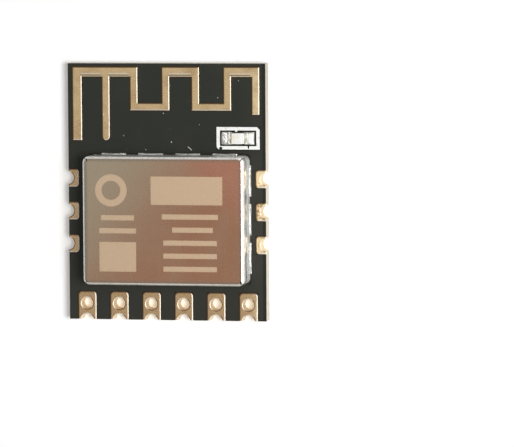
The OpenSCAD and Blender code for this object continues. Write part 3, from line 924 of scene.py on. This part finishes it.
@dataclass(frozen=True)
class MetalFinish(Finish):
    """Solder, tin or plating: pale metal with soft patches, a waved surface and painted light over some
    fields, white and not metallic.
    """

    light: Colour = rgb(226, 226, 222)
    dull: Colour = rgb(172, 172, 169)
    white: Colour = rgb(252, 252, 249)
    metal: float = 0.6
    patches: Triple = (0.3, 0.4, 0.7)
    grain: Span = (0.05, 1.5)
    rough: Span = (0.22, 0.42)
    depth: float = 0.012
    # fields painted white and not metallic: painted light
    lit_fields: tuple[Field, ...] = ()
    white_soft: float = 0.06

    def paint(self, coat: Coat, grain: Socket) -> Feed:
        """Lays the two tones and the painted light, white.

        Args:
            coat: The coat.
            grain: The finish's grain on it.

        Returns:
            The height of the relief.
        """
        patches = coat.blotches(*self.patches)
        # painted light: the joint that faces the lamp drawn white and not metallic
        white = coat.bars(self.lit_fields, self.white_soft)
        coat.colour = self.light
        coat.lay(self.dull, patches)
        coat.lay(self.white, white)
        coat.metal = coat.graph.lean(white, self.metal, 0.0)
        return coat.graph.maths("MULTIPLY_ADD", patches, 1.5, grain)


@dataclass(frozen=True)
class DullFinish(Finish):
    """A matt body such as ink, ceramic or mould: two tones in soft patches under a fine grain."""

    light: Colour = rgb(200, 200, 196)
    dark: Colour = rgb(170, 170, 166)
    patches: Triple = (0.4, 0.45, 0.7)
    specular: float = 0.35

    def paint(self, coat: Coat, grain: Socket) -> Feed:
        """Lays the two tones.

        Args:
            coat: The coat.
            grain: The finish's grain on it.

        Returns:
            The height of the relief.
        """
        coat.colour = self.light
        coat.lay(self.dark, coat.blotches(*self.patches))
        coat.lay(self.dark, coat.graph.spread(grain, 0.5, 0.95, 0.0, 0.4))
        return grain


@dataclass(frozen=True)
class LensFinish(Finish):
    """Milky clear resin of the indicator, faintly clouded, with the die's phosphor showing through."""

    die: Vector = Vector()
    milky: Colour = rgb(255, 255, 254)
    cloudy: Colour = rgb(248, 247, 240)
    phosphor: Colour = rgb(255, 238, 178)
    clouds: Triple = (0.35, 0.4, 0.7)
    flecks: Triple = (0.16, 0.5, 0.6)
    phosphor_aside: float = 0.1
    phosphor_reach: float = 0.36
    phosphor_soft: float = 0.25
    grain: Span = (0.05, 1.2)
    rough: Span = (0.14, 0.26)
    depth: float = 0.004
    clear: float = 0.05

    def paint(self, coat: Coat, grain: Socket) -> Feed:
        """Lays the cloudy resin and the flecked phosphor under it.

        Args:
            coat: The coat.
            grain: The finish's grain on it.

        Returns:
            The height of the relief.
        """
        spot = coat.disc(self.die.x / MM - self.phosphor_aside, self.die.y / MM, self.phosphor_reach,
                         soft=self.phosphor_soft)
        coat.colour = self.milky
        coat.lay(self.cloudy, coat.blotches(*self.clouds))
        coat.lay(self.phosphor, coat.graph.times(spot, coat.blotches(*self.flecks)))
        return grain


def finish_set(effects: Effects) -> dict[Slot, bpy.types.Material]:
    """Builds every finish of the module.

    Args:
        effects: The shared effects.

    Returns:
        The materials by slot.
    """
    can, lens, joint = box_of("shield_can"), box_of("led_lens"), box_of("led_solder_e")
    shade_ring, bared_and_shaded = MaskFinish.shade_ring_width, MaskFinish.bared_and_shaded_width
    finishes: dict[Slot, Finish] = {
        Slot.LAMINATE: LaminateFinish("glass_epoxy_edge"),
        Slot.MASK: MaskFinish(
            "black_solder_mask",
            # painted shade rings the can and the printed frame
            shade_ringed=tuple(Field.over(box, -shade_ring) for box in (can, box_of("led_frame"))),
            # the pads' fringe: bare laminate tone with painted shade
            pads=tuple(Field.over(box_of(node), -bared_and_shaded) for side in Side for node in side.nodes())),
        Slot.GOLD: GoldFinish("plated_gold"),
        Slot.CAN: CanFinish("can_sheet_metal", middle=sum(can, Vector()) / 2, top=can[1].z),
        # the indicator's east joint painted white, as lit by the lamp
        Slot.SOLDER: MetalFinish("cold_solder", lit_fields=(Field.over(joint),)),
        Slot.LED_BASE: DullFinish("indicator_base", light=rgb(226, 222, 206), dark=rgb(200, 194, 172)),
        Slot.LED_PLATING: MetalFinish("indicator_plating", light=rgb(224, 220, 208), dull=rgb(176, 172, 160),
                                      lit_fields=(Field.over(joint, 0.1),)),
        Slot.LED_DIE: DullFinish("indicator_die", light=rgb(250, 232, 130), dark=rgb(226, 196, 80),
                                 patches=(0.1, 0.45, 0.7)),
        Slot.LED_LENS: LensFinish("indicator_lens", die=sum(lens, Vector()) / 2),
        Slot.INK: DullFinish("white_ink", light=rgb(252, 252, 250), dark=rgb(205, 205, 200),
                             patches=(0.4, 0.55, 0.75), rough=(0.55, 0.8)),
        Slot.MOULD: DullFinish("black_mould", light=rgb(38, 38, 39), dark=rgb(26, 26, 27), specular=0.3),
        Slot.TIN: MetalFinish("matt_tin", light=rgb(206, 206, 204), dull=rgb(170, 170, 168),
                              rough=(0.3, 0.5)),
        Slot.CRYSTAL: DullFinish("crystal_ceramic_body", light=rgb(190, 184, 172), dark=rgb(164, 158, 146)),
        Slot.CAPACITOR: DullFinish("capacitor_ceramic_body", light=rgb(170, 138, 104),
                                   dark=rgb(142, 112, 82)),
    }
    return {slot: finish.material(effects) for slot, finish in finishes.items()}


# ---- making pieces ----


def object_of(mesh: Mesh, name: str) -> bpy.types.Object:
    """Turns a mesh, which is used up, into an object of the scene.

    Args:
        mesh: The mesh.
        name: The name of the object and of its mesh.

    Returns:
        The object.
    """
    data = bpy.data.meshes.new(name)
    mesh.to_mesh(data)
    mesh.free()
    made = bpy.data.objects.new(name, data)
    bpy.context.scene.collection.objects.link(made)
    return made


def block(middle: Sequence[float], size: Sequence[float], turn: float = 0.0) -> Matrix:
    """The matrix that gives a shape of size 1 its size, turns it about Z and puts it in its place.

    Args:
        middle: The place of its middle.
        size: Its size along X, Y and Z.
        turn: The turn in radians.

    Returns:
        The matrix.
    """
    return Matrix.Translation(middle) @ Matrix.Rotation(turn, 4, "Z") @ Matrix.Diagonal((*size, 1.0))


def looks(face: bmesh.types.BMFace, upward: float) -> bool:
    """Whether a face looks squarely up, where upward is 1, or down, where it is -1."""
    return face.normal.z * upward > SQUARE_ON


def bevel(mesh: Mesh, edges: Sequence[bmesh.types.BMEdge], width: float, segments: int) -> None:
    """Rounds edges by a width in millimetres with so many segments."""
    bmesh.ops.bevel(mesh, geom=edges, offset=width * MM, offset_type="OFFSET", affect="EDGES",
                    segments=segments, profile=0.5, material=-1, clamp_overlap=True)


@dataclass
class Workshop:
    """Copies CAD nodes, softens their edges and attaches finished pieces to the module's root."""

    finishes: dict[Slot, bpy.types.Material]
    joined: float = 0.0004
    flat_within: float = 1.0
    sharp_above: float = 50.0
    made: int = 0

    def dress(self, slot: Slot, *nodes: str) -> None:
        """Gives CAD nodes that stay in view the finish of a slot.

        Args:
            slot: The slot of the finish.
            *nodes: The nodes' names.
        """
        for name in nodes:
            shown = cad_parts[name]
            if shown.material_slots:
                shown.material_slots[0].material = self.finishes[slot]
            else:
                shown.data.materials.append(self.finishes[slot])

    def copy_of(self, node: str) -> Mesh:
        """A CAD node's mesh with its loose triangles joined into flat faces.

        Args:
            node: The node's name.

        Returns:
            The joined mesh.
        """
        mesh = bmesh.new()
        mesh.from_mesh(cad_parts[node].data)
        bmesh.ops.remove_doubles(mesh, verts=mesh.verts, dist=self.joined * MM)
        bmesh.ops.dissolve_limit(mesh, angle_limit=math.radians(self.flat_within), verts=mesh.verts,
                                 edges=mesh.edges)
        return mesh

    def soften(self, mesh: Mesh, width: float, segments: int,
               chosen: Callable[[bmesh.types.BMEdge], bool] = lambda edge: True) -> None:
        """Bevels the sharp edges of a mesh.

        Args:
            mesh: The mesh to bevel.
            width: The bevel's width in millimetres.
            segments: Faces across the bevel.
            chosen: Tells whether a sharp edge is bevelled.
        """
        least = math.radians(self.sharp_above)
        bevel(mesh, [edge for edge in mesh.edges if edge.is_manifold and edge.calc_face_angle(0.0) > least
                     and chosen(edge)], width, segments)

    def publish(self, mesh: Mesh, name: str, slot: Slot, stands_for: Sequence[str] = (),
                smooth: float = SMOOTH_BELOW) -> bpy.types.Object:
        """Turns a finished mesh into a piece that rides on the module.

        Args:
            mesh: The piece's mesh, which is used up.
            name: The piece's name.
            slot: The slot of its finish.
            stands_for: The CAD nodes that it replaces.
            smooth: Faces that meet at less than this angle in degrees shade smoothly.

        Returns:
            The piece.
        """
        bmesh.ops.recalc_face_normals(mesh, faces=mesh.faces)
        for face in mesh.faces:
            face.smooth = True
        piece = object_of(mesh, name)
        piece.data.set_sharp_from_angle(angle=math.radians(smooth))
        piece.data.materials.append(self.finishes[slot])
        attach(piece, "root")
        if stands_for:
            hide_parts(*stands_for)
        self.made += 1
        LOG.info("%s: %d faces, stands for %s", name, len(piece.data.polygons),
                 ", ".join(stands_for) or "nothing")
        return piece


@dataclass
class CircuitBoard:
    """The laminate and its two mask layers, with the dust and the scratch on the component side."""

    shop: Workshop
    mask_top: float = 1.175
    dust_size: float = 0.03
    dust_shape: Triple = (1.3, 1.0, 0.5)
    dust_spots: tuple[Span, ...] = (
        (-3.36, 4.33), (0.38, 3.86), (4.04, 7.29), (5.67, 8.6), (-0.23, 6.06), (-1.65, 3.26), (2.6, 5.2))
    scratch: tuple[Span, Span] = ((1.68, 3.5), (1.98, 3.24))
    scratch_width: float = 0.03
    scratch_height: float = 0.004
    seed: int = 11

    def dress(self) -> None:
        """Gives the board's nodes their finishes."""
        self.shop.dress(Slot.LAMINATE, "laminate")
        self.shop.dress(Slot.MASK, "mask_top_side", "mask_under_side")

    def build_dust(self) -> None:
        """Builds the specks of dust, each a flattened crumb, and one hair-fine scratch."""
        dice = random.Random(self.seed)
        mesh = bmesh.new()
        for spot in self.dust_spots:
            size = self.dust_size * MM * dice.uniform(0.7, 1.25)
            turn = dice.uniform(0.0, math.pi)
            bmesh.ops.create_icosphere(mesh, subdivisions=1, radius=1.0, matrix=block(
                Vector((*spot, self.mask_top)) * MM, Vector(self.dust_shape) * size, turn))
        start, end = (Vector((*spot, self.mask_top)) for spot in self.scratch)
        line = end - start
        bmesh.ops.create_cube(mesh, size=1.0, matrix=block(
            (start + end) / 2 * MM, Vector((line.length, self.scratch_width, self.scratch_height)) * MM,
            math.atan2(line.y, line.x)))
        self.shop.publish(mesh, "mask_dust", Slot.INK)


@dataclass
class CopperWork:
    """Bare plated copper: antenna, castellated pads and lands, with the sloped rims that etching leaves."""

    shop: Workshop
    top: float = 1.2
    shoulder: float = 0.07
    fall: float = 0.025
    level_within: float = 0.002
    gap: float = 0.1
    gap_top: float = 1.178
    gap_depth: float = 0.002
    smooth: float = 15.0
    tinned: tuple[str, ...] = ("can_land", "led_land_w", "led_land_e")
    lands: tuple[str, ...] = ("chip_lands", "crystal_lands", "passive_lands")

    def slope(self, mesh: Mesh, level: float, upward: float) -> None:
        """Lets a copper face fall away towards its rims, as etched and plated copper does.

        Args:
            mesh: The copper's mesh.
            level: The height of the face in millimetres.
            upward: 1 for a face that looks up, -1 for one that looks down.
        """
        flat = [face for face in mesh.faces if looks(face, upward)
                and abs(face.calc_center_median().z - level * MM) < self.level_within * MM]
        inset = bmesh.ops.inset_region(mesh, faces=flat, use_boundary=True, use_even_offset=True,
                                       thickness=self.shoulder * MM, depth=0.0)
        inner = {vert for face in flat for vert in face.verts}
        outer = {vert for face in inset["faces"] for vert in face.verts} - inner
        bmesh.ops.translate(mesh, verts=list(outer), vec=Vector((0.0, 0.0, -self.fall * upward * MM)))

    def build_antenna(self) -> None:
        """Builds the antenna with its rims sloped."""
        mesh = self.shop.copy_of("antenna")
        self.slope(mesh, self.top, 1.0)
        self.shop.publish(mesh, "meander_antenna", Slot.GOLD, ("antenna",), smooth=self.smooth)

    def build_gap(self) -> None:
        """Builds the narrow gap between the antenna's copper and the mask, bare laminate seen from above."""
        mesh = self.shop.copy_of("antenna")
        bmesh.ops.delete(mesh, geom=[face for face in mesh.faces if not looks(face, 1.0)], context="FACES")
        wider = bmesh.ops.inset_region(mesh, faces=mesh.faces[:], use_boundary=True, use_even_offset=True,
                                       thickness=-self.gap * MM, depth=0.0)["faces"]
        bmesh.ops.delete(mesh, geom=wider, context="FACES")
        for vert in mesh.verts:
            vert.co.z = self.gap_top * MM
        sheet = bmesh.ops.extrude_face_region(mesh, geom=mesh.faces[:])["geom"]
        bmesh.ops.translate(mesh, vec=Vector((0.0, 0.0, -self.gap_depth * MM)), verts=[
            part for part in sheet if isinstance(part, bmesh.types.BMVert)])
        self.shop.publish(mesh, "antenna_gap", Slot.LAMINATE)

    def build_pads(self, side: Side) -> None:
        """Builds one side's castellated pads, each with sloped rims on both faces.

        Args:
            side: The side of the board.
        """
        for node in side.nodes():
            mesh = self.shop.copy_of(node)
            self.slope(mesh, self.top, 1.0)
            self.slope(mesh, 0.0, -1.0)
            self.shop.publish(mesh, f"plated_{node}", Slot.GOLD, (node,), smooth=self.smooth)

    def dress(self) -> None:
        """Gives the lands that stay as they are their finish."""
        self.shop.dress(Slot.GOLD, *self.lands)
        self.shop.dress(Slot.SOLDER, *self.tinned)


@dataclass
class ShieldCan:
    """The folded can: rolled top edges, and a relief hole and a slit at each corner."""

    shop: Workshop
    sheet: float = 0.2
    corner: float = 0.48
    bend: float = 0.23
    reliefs: tuple[float, ...] = (0.05, 0.12, 0.11, 0.06)
    relief_steps: int = 24
    slit: float = 0.07
    corner_steps: int = 8
    bend_steps: int = 6
    level: float = 0.999

    def shell(self, low: Vector, high: Vector) -> Mesh:
        """The closed-in sheet before its corners are relieved.

        Args:
            low: The can's lowest corner.
            high: The can's highest corner.

        Returns:
            The shell's mesh.
        """
        mesh = bmesh.new()
        size = high - low
        bmesh.ops.create_cube(mesh, size=1.0, matrix=block((low + high) / 2, size))
        upright = [edge for edge in mesh.edges if abs(edge.verts[0].co.z - edge.verts[1].co.z) > size.z / 2]
        bevel(mesh, upright, self.corner, self.corner_steps)
        rim = [edge for edge in mesh.edges if all(vert.co.z > high.z - TINY for vert in edge.verts)]
        bevel(mesh, rim, self.bend, self.bend_steps)
        bmesh.ops.delete(mesh, geom=[face for face in mesh.faces if looks(face, -1.0)], context="FACES")
        bmesh.ops.solidify(mesh, geom=mesh.faces[:], thickness=self.sheet * MM)
        return mesh

    def cutter(self, low: Vector, high: Vector) -> bpy.types.Object:
        """The four corner cuts, a round hole and a slit each, as one throwaway object.

        Args:
            low: The can's lowest corner.
            high: The can's highest corner.

        Returns:
            The cutter.
        """
        mesh = bmesh.new()
        inner = (self.corner - (self.corner - self.sheet) / math.sqrt(2.0)) * MM
        slot = Vector((self.corner * MM, self.slit * MM, high.z - low.z + 2 * self.sheet * MM))
        corners = [(right, back) for right in (-1, 1) for back in (-1, 1)]
        for (right, back), relief in zip(corners, self.reliefs):
            spot = Vector((high.x - inner if right > 0 else low.x + inner,
                           high.y - inner if back > 0 else low.y + inner, high.z))
            bmesh.ops.create_cone(mesh, cap_ends=True, segments=self.relief_steps, radius1=relief * MM,
                                  radius2=relief * MM, depth=3 * self.sheet * MM,
                                  matrix=Matrix.Translation(spot))
            spot.z = (low.z + high.z) / 2
            bmesh.ops.create_cube(mesh, size=1.0, matrix=block(spot, EVEN, math.atan2(back, right))
                                  @ block((slot.x / 2, 0.0, 0.0), slot))
        return object_of(mesh, "corner_cuts")

    def build(self) -> None:
        """Builds the can and cuts its corners."""
        low, high = box_of("shield_can")
        piece = self.shop.publish(self.shell(low, high), "folded_shield_can", Slot.CAN, ("shield_can",))
        tool = self.cutter(low, high)
        cut = piece.modifiers.new("corner_cuts", "BOOLEAN")
        cut.operation, cut.solver, cut.object, cut.use_self = "DIFFERENCE", "EXACT", tool, True
        bpy.context.view_layer.update()
        result = bpy.data.meshes.new_from_object(piece.evaluated_get(bpy.context.evaluated_depsgraph_get()))
        piece.modifiers.clear()
        old, piece.data = piece.data, result
        result.name = piece.name
        result.set_sharp_from_angle(angle=math.radians(SMOOTH_BELOW))
        for face in result.polygons:
            face.use_smooth = abs(face.normal.z) < self.level
        bpy.data.meshes.remove(old)
        bpy.data.objects.remove(tool)


@dataclass
class CanSolder:
    """The solder beads along the can's feet, each a drawn-out drop cut by the wall and the land."""

    shop: Workshop
    reach: float = 0.1
    rise: float = 0.12
    corner: float = 0.48
    rows: tuple[tuple[int, int, int, float], ...] = (
        (1, 0, 3, 0.8), (-1, 0, 3, 0.66), (0, 1, 4, 0.66), (0, -1, 3, 0.66))
    uneven: Span = (0.97, 1.04)
    segments: tuple[int, int] = (20, 12)
    smooth: float = 50.0
    seed: int = 5

    def drop(self, length: float) -> Mesh:
        """One bead at the origin: the quarter of a drop that lies to the right of it and above.

        Args:
            length: The bead's length in metres.

        Returns:
            The bead's mesh.
        """
        around, along = self.segments
        drop = bmesh.new()
        bmesh.ops.create_uvsphere(
            drop, u_segments=around, v_segments=along, radius=1.0,
            matrix=Matrix.Diagonal((self.reach * MM, length / 2, self.rise * MM, 1.0)))
        for normal in (Vector((1.0, 0.0, 0.0)), Vector((0.0, 0.0, 1.0))):
            cut = bmesh.ops.bisect_plane(drop, geom=drop.verts[:] + drop.edges[:] + drop.faces[:], dist=1e-8,
                                         plane_co=(0.0, 0.0, 0.0), plane_no=normal, clear_inner=True)
            bmesh.ops.contextual_create(
                drop, geom=[part for part in cut["geom_cut"] if isinstance(part, bmesh.types.BMEdge)])
        return drop

    def build(self) -> None:
        """Builds every bead as one piece."""
        low, high = box_of("shield_can")
        middle, size = (low + high) / 2, high - low
        dice = random.Random(self.seed)
        mesh = bmesh.new()
        for out_x, out_y, count, share in self.rows:
            wall, away = (size.x, size.y / 2) if out_y else (size.y, size.x / 2)
            run = (wall - 2 * self.corner * MM) / count
            side = block((middle.x, middle.y, low.z), EVEN, math.atan2(out_y, out_x))
            for index in range(count):
                drop = self.drop(run * share * dice.uniform(*self.uneven))
                bmesh.ops.transform(drop, verts=drop.verts, matrix=side @ Matrix.Translation(
                    (away, (index - (count - 1) / 2) * run, 0.0)))
                part = bpy.data.meshes.new("bead")
                drop.to_mesh(part)
                drop.free()
                mesh.from_mesh(part)
                bpy.data.meshes.remove(part)
        self.shop.publish(mesh, "can_solder_beads", Slot.SOLDER, ("can_solder",), smooth=self.smooth)


@dataclass
class Indicator:
    """The chip LED on its solder joints, inside a printed frame."""

    shop: Workshop
    lens_rounding: float = 0.05
    plating_rounding: float = 0.01
    joint_rounding: float = 0.03

    def build_lens(self) -> None:
        """Builds the moulded lens with soft edges."""
        mesh = self.shop.copy_of("led_lens")
        _, high = box_of("led_lens")
        self.shop.soften(mesh, self.lens_rounding, 3, lambda edge: any(
            vert.co.z > high.z - TINY for vert in edge.verts))
        self.shop.publish(mesh, "indicator_lens", Slot.LED_LENS, ("led_lens",))

    def build_ends(self) -> None:
        """Builds the wrapped end platings and the solder joints at both ends."""
        ends = (("cap", "plating", Slot.LED_PLATING, self.plating_rounding, 2),
                ("solder", "joint", Slot.SOLDER, self.joint_rounding, 3))
        for side in ("w", "e"):
            for part, piece, slot, rounding, segments in ends:
                node = f"led_{part}_{side}"
                mesh = self.shop.copy_of(node)
                self.shop.soften(mesh, rounding, segments)
                self.shop.publish(mesh, f"indicator_{piece}_{side}", slot, (node,))

    def dress(self) -> None:
        """Gives the nodes that stay as they are their finishes."""
        self.shop.dress(Slot.LED_BASE, "led_base")
        self.shop.dress(Slot.LED_DIE, "led_die")
        self.shop.dress(Slot.INK, "led_frame")


@dataclass
class CoveredParts:
    """The radio chip, crystal and capacitors under the can."""

    shop: Workshop
    capacitors: int = 6

    def dress(self) -> None:
        """Gives each covered part its finish."""
        self.shop.dress(Slot.MOULD, "chip_body")
        self.shop.dress(Slot.TIN, "chip_leads", "chip_paddle", "crystal_lid")
        self.shop.dress(Slot.CRYSTAL, "crystal_base")
        for index in range(1, self.capacitors + 1):
            self.shop.dress(Slot.CAPACITOR, f"passive_{index}_body")
            self.shop.dress(Slot.TIN, f"passive_{index}_ends")


# ---- studio ----


@dataclass
class Studio:
    """A pale floor, a softly graded dome, one large lamp from the right and the camera."""

    floor_side: float = 1.6
    floor_drop: float = 0.002
    floor_white: Colour = (0.92, 0.92, 0.92, 1.0)
    floor_glow: float = 0.17
    hole_glow: float = 0.36
    hole_tint: Colour = rgb(255, 242, 220)
    hole_row: Field = Field(0.0, -8.66, 14.4, 1.2)
    fill_level: float = 0.4
    dome_level: float = 1.0
    dome_sides: Span = (0.16, 1.9)
    dome_turn: Span = (0.95, -0.25)
    dome_run: Span = (-0.75, 0.75)
    dome_top: Span = (0.6, 0.96)
    lamp_place: Vector = Vector((0.19, 0.0, 0.35))
    lamp_side: float = 0.13
    lamp_power: float = 1.14
    eye: Vector = Vector((64.3277, 22.8393, 301.3034))
    right: Vector = Vector((0.98233847, -0.00561841, -0.18702822))
    up: Vector = Vector((-0.00986832, 0.99660235, -0.08177025))
    back: Vector = Vector((0.18685219, 0.08217172, 0.97894539))
    lens: float = 280.16
    film: float = 36.0

    @staticmethod
    def rays(graph: Graph, first: str, second: str) -> tuple[Socket, Node]:
        """One for rays of two kinds and nothing for the rest, with the node that tells every kind."""
        path = graph.node("ShaderNodeLightPath")
        both = (path.outputs[f"Is {kind} Ray"] for kind in (first, second))
        return graph.maths("ADD", *both, clamp=True), path

    def build_floor(self, effects: Effects) -> None:
        """Builds the floor, white to the camera and to mirrors, with the object's shadow on it.

        Args:
            effects: The shared effects, for the brighter strip that shows through the pin holes.
        """
        mesh = bmesh.new()
        bmesh.ops.create_grid(mesh, x_segments=1, y_segments=1, size=self.floor_side / 2,
                              matrix=Matrix.Translation((0.0, 0.0, -self.floor_drop * MM)))
        floor = object_of(mesh, "studio_floor")
        paper = Coat("studio_paper", effects)
        graph = paper.graph
        # under the pin holes the paper glows brighter and warmer: painted light, seen through the holes
        under = paper.bars([self.hole_row])
        direct, path = self.rays(graph, "Camera", "Glossy")
        seen = graph.maths("ADD", direct, path.outputs["Is Transmission Ray"], clamp=True)
        paper.colour = self.floor_white
        paper.give(specular_ior_level=0.0, emission_color=graph.blend(under, WHITE, self.hole_tint),
                   emission_strength=graph.times(seen, graph.lean(under, self.floor_glow, self.hole_glow)))
        floor.data.materials.append(paper.material)

    def build_dome(self) -> None:
        """Builds the world: white to the camera, and for the object a dome a little darker at the left."""
        world = bpy.data.worlds.new("studio_dome")
        bpy.context.scene.world = world
        world.use_nodes = True
        world.node_tree.nodes.clear()
        graph = Graph(world.node_tree)
        output = graph.node("ShaderNodeOutputWorld")
        shader = graph.node("ShaderNodeBackground")
        graph.feed(output.inputs["Surface"], shader.outputs[0])
        x, y, z = graph.axes(graph.node("ShaderNodeTexCoord").outputs["Generated"])
        along, across = self.dome_turn
        towards = graph.maths("MULTIPLY_ADD", y, across, graph.times(x, along))
        low_down = graph.spread(towards, *self.dome_run, *self.dome_sides)
        dome = graph.lean(graph.spread(z, *self.dome_top), low_down, self.dome_level)
        mirror, path = self.rays(graph, "Glossy", "Transmission")
        level = graph.lean(mirror, self.fill_level, dome)
        graph.feed(shader.inputs["Strength"], graph.lean(path.outputs["Is Camera Ray"], level, 1.0))

    def build_lamp(self) -> None:
        """Builds the large soft lamp at the right."""
        light = bpy.data.lights.new("soft_lamp", "AREA")
        light.shape, light.size, light.energy = "SQUARE", self.lamp_side, self.lamp_power
        lamp = bpy.data.objects.new("soft_lamp", light)
        lamp.location = self.lamp_place
        lamp.rotation_euler = (-self.lamp_place).to_track_quat("-Z", "Y").to_euler()
        bpy.context.scene.collection.objects.link(lamp)

    def build_camera(self) -> None:
        """Builds the camera, high over the module and a little to its right and back."""
        data = bpy.data.cameras.new("camera")
        data.lens, data.sensor_width, data.sensor_fit = self.lens, self.film, "HORIZONTAL"
        data.clip_start, data.clip_end = 0.01, 10.0
        camera = bpy.data.objects.new("camera", data)
        turn = Matrix((self.right, self.up, self.back)).transposed().to_4x4()
        camera.matrix_world = Matrix.Translation(self.eye * MM) @ turn
        bpy.context.scene.collection.objects.link(camera)
        bpy.context.scene.camera = camera

    def build(self, effects: Effects) -> None:
        """Builds the whole studio.

        Args:
            effects: The shared effects.
        """
        bpy.context.scene.view_settings.view_transform = "Standard"
        self.build_floor(effects)
        self.build_dome()
        self.build_lamp()
        self.build_camera()


def main() -> None:
    """Builds every sub-assembly of the module in order, then the studio."""
    logging.basicConfig(level=logging.INFO, format="%(name)s: %(message)s")
    effects = Effects()
    shop = Workshop(finish_set(effects))
    board = CircuitBoard(shop)
    board.dress()
    board.build_dust()
    copper = CopperWork(shop)
    copper.build_antenna()
    copper.build_gap()
    for side in Side:
        copper.build_pads(side)
    copper.dress()
    ShieldCan(shop).build()
    CanSolder(shop).build()
    indicator = Indicator(shop)
    indicator.build_lens()
    indicator.build_ends()
    indicator.dress()
    CoveredParts(shop).dress()
    Studio().build(effects)
    LOG.info("%d pieces built", shop.made)


if __name__ == "__main__":
    main()
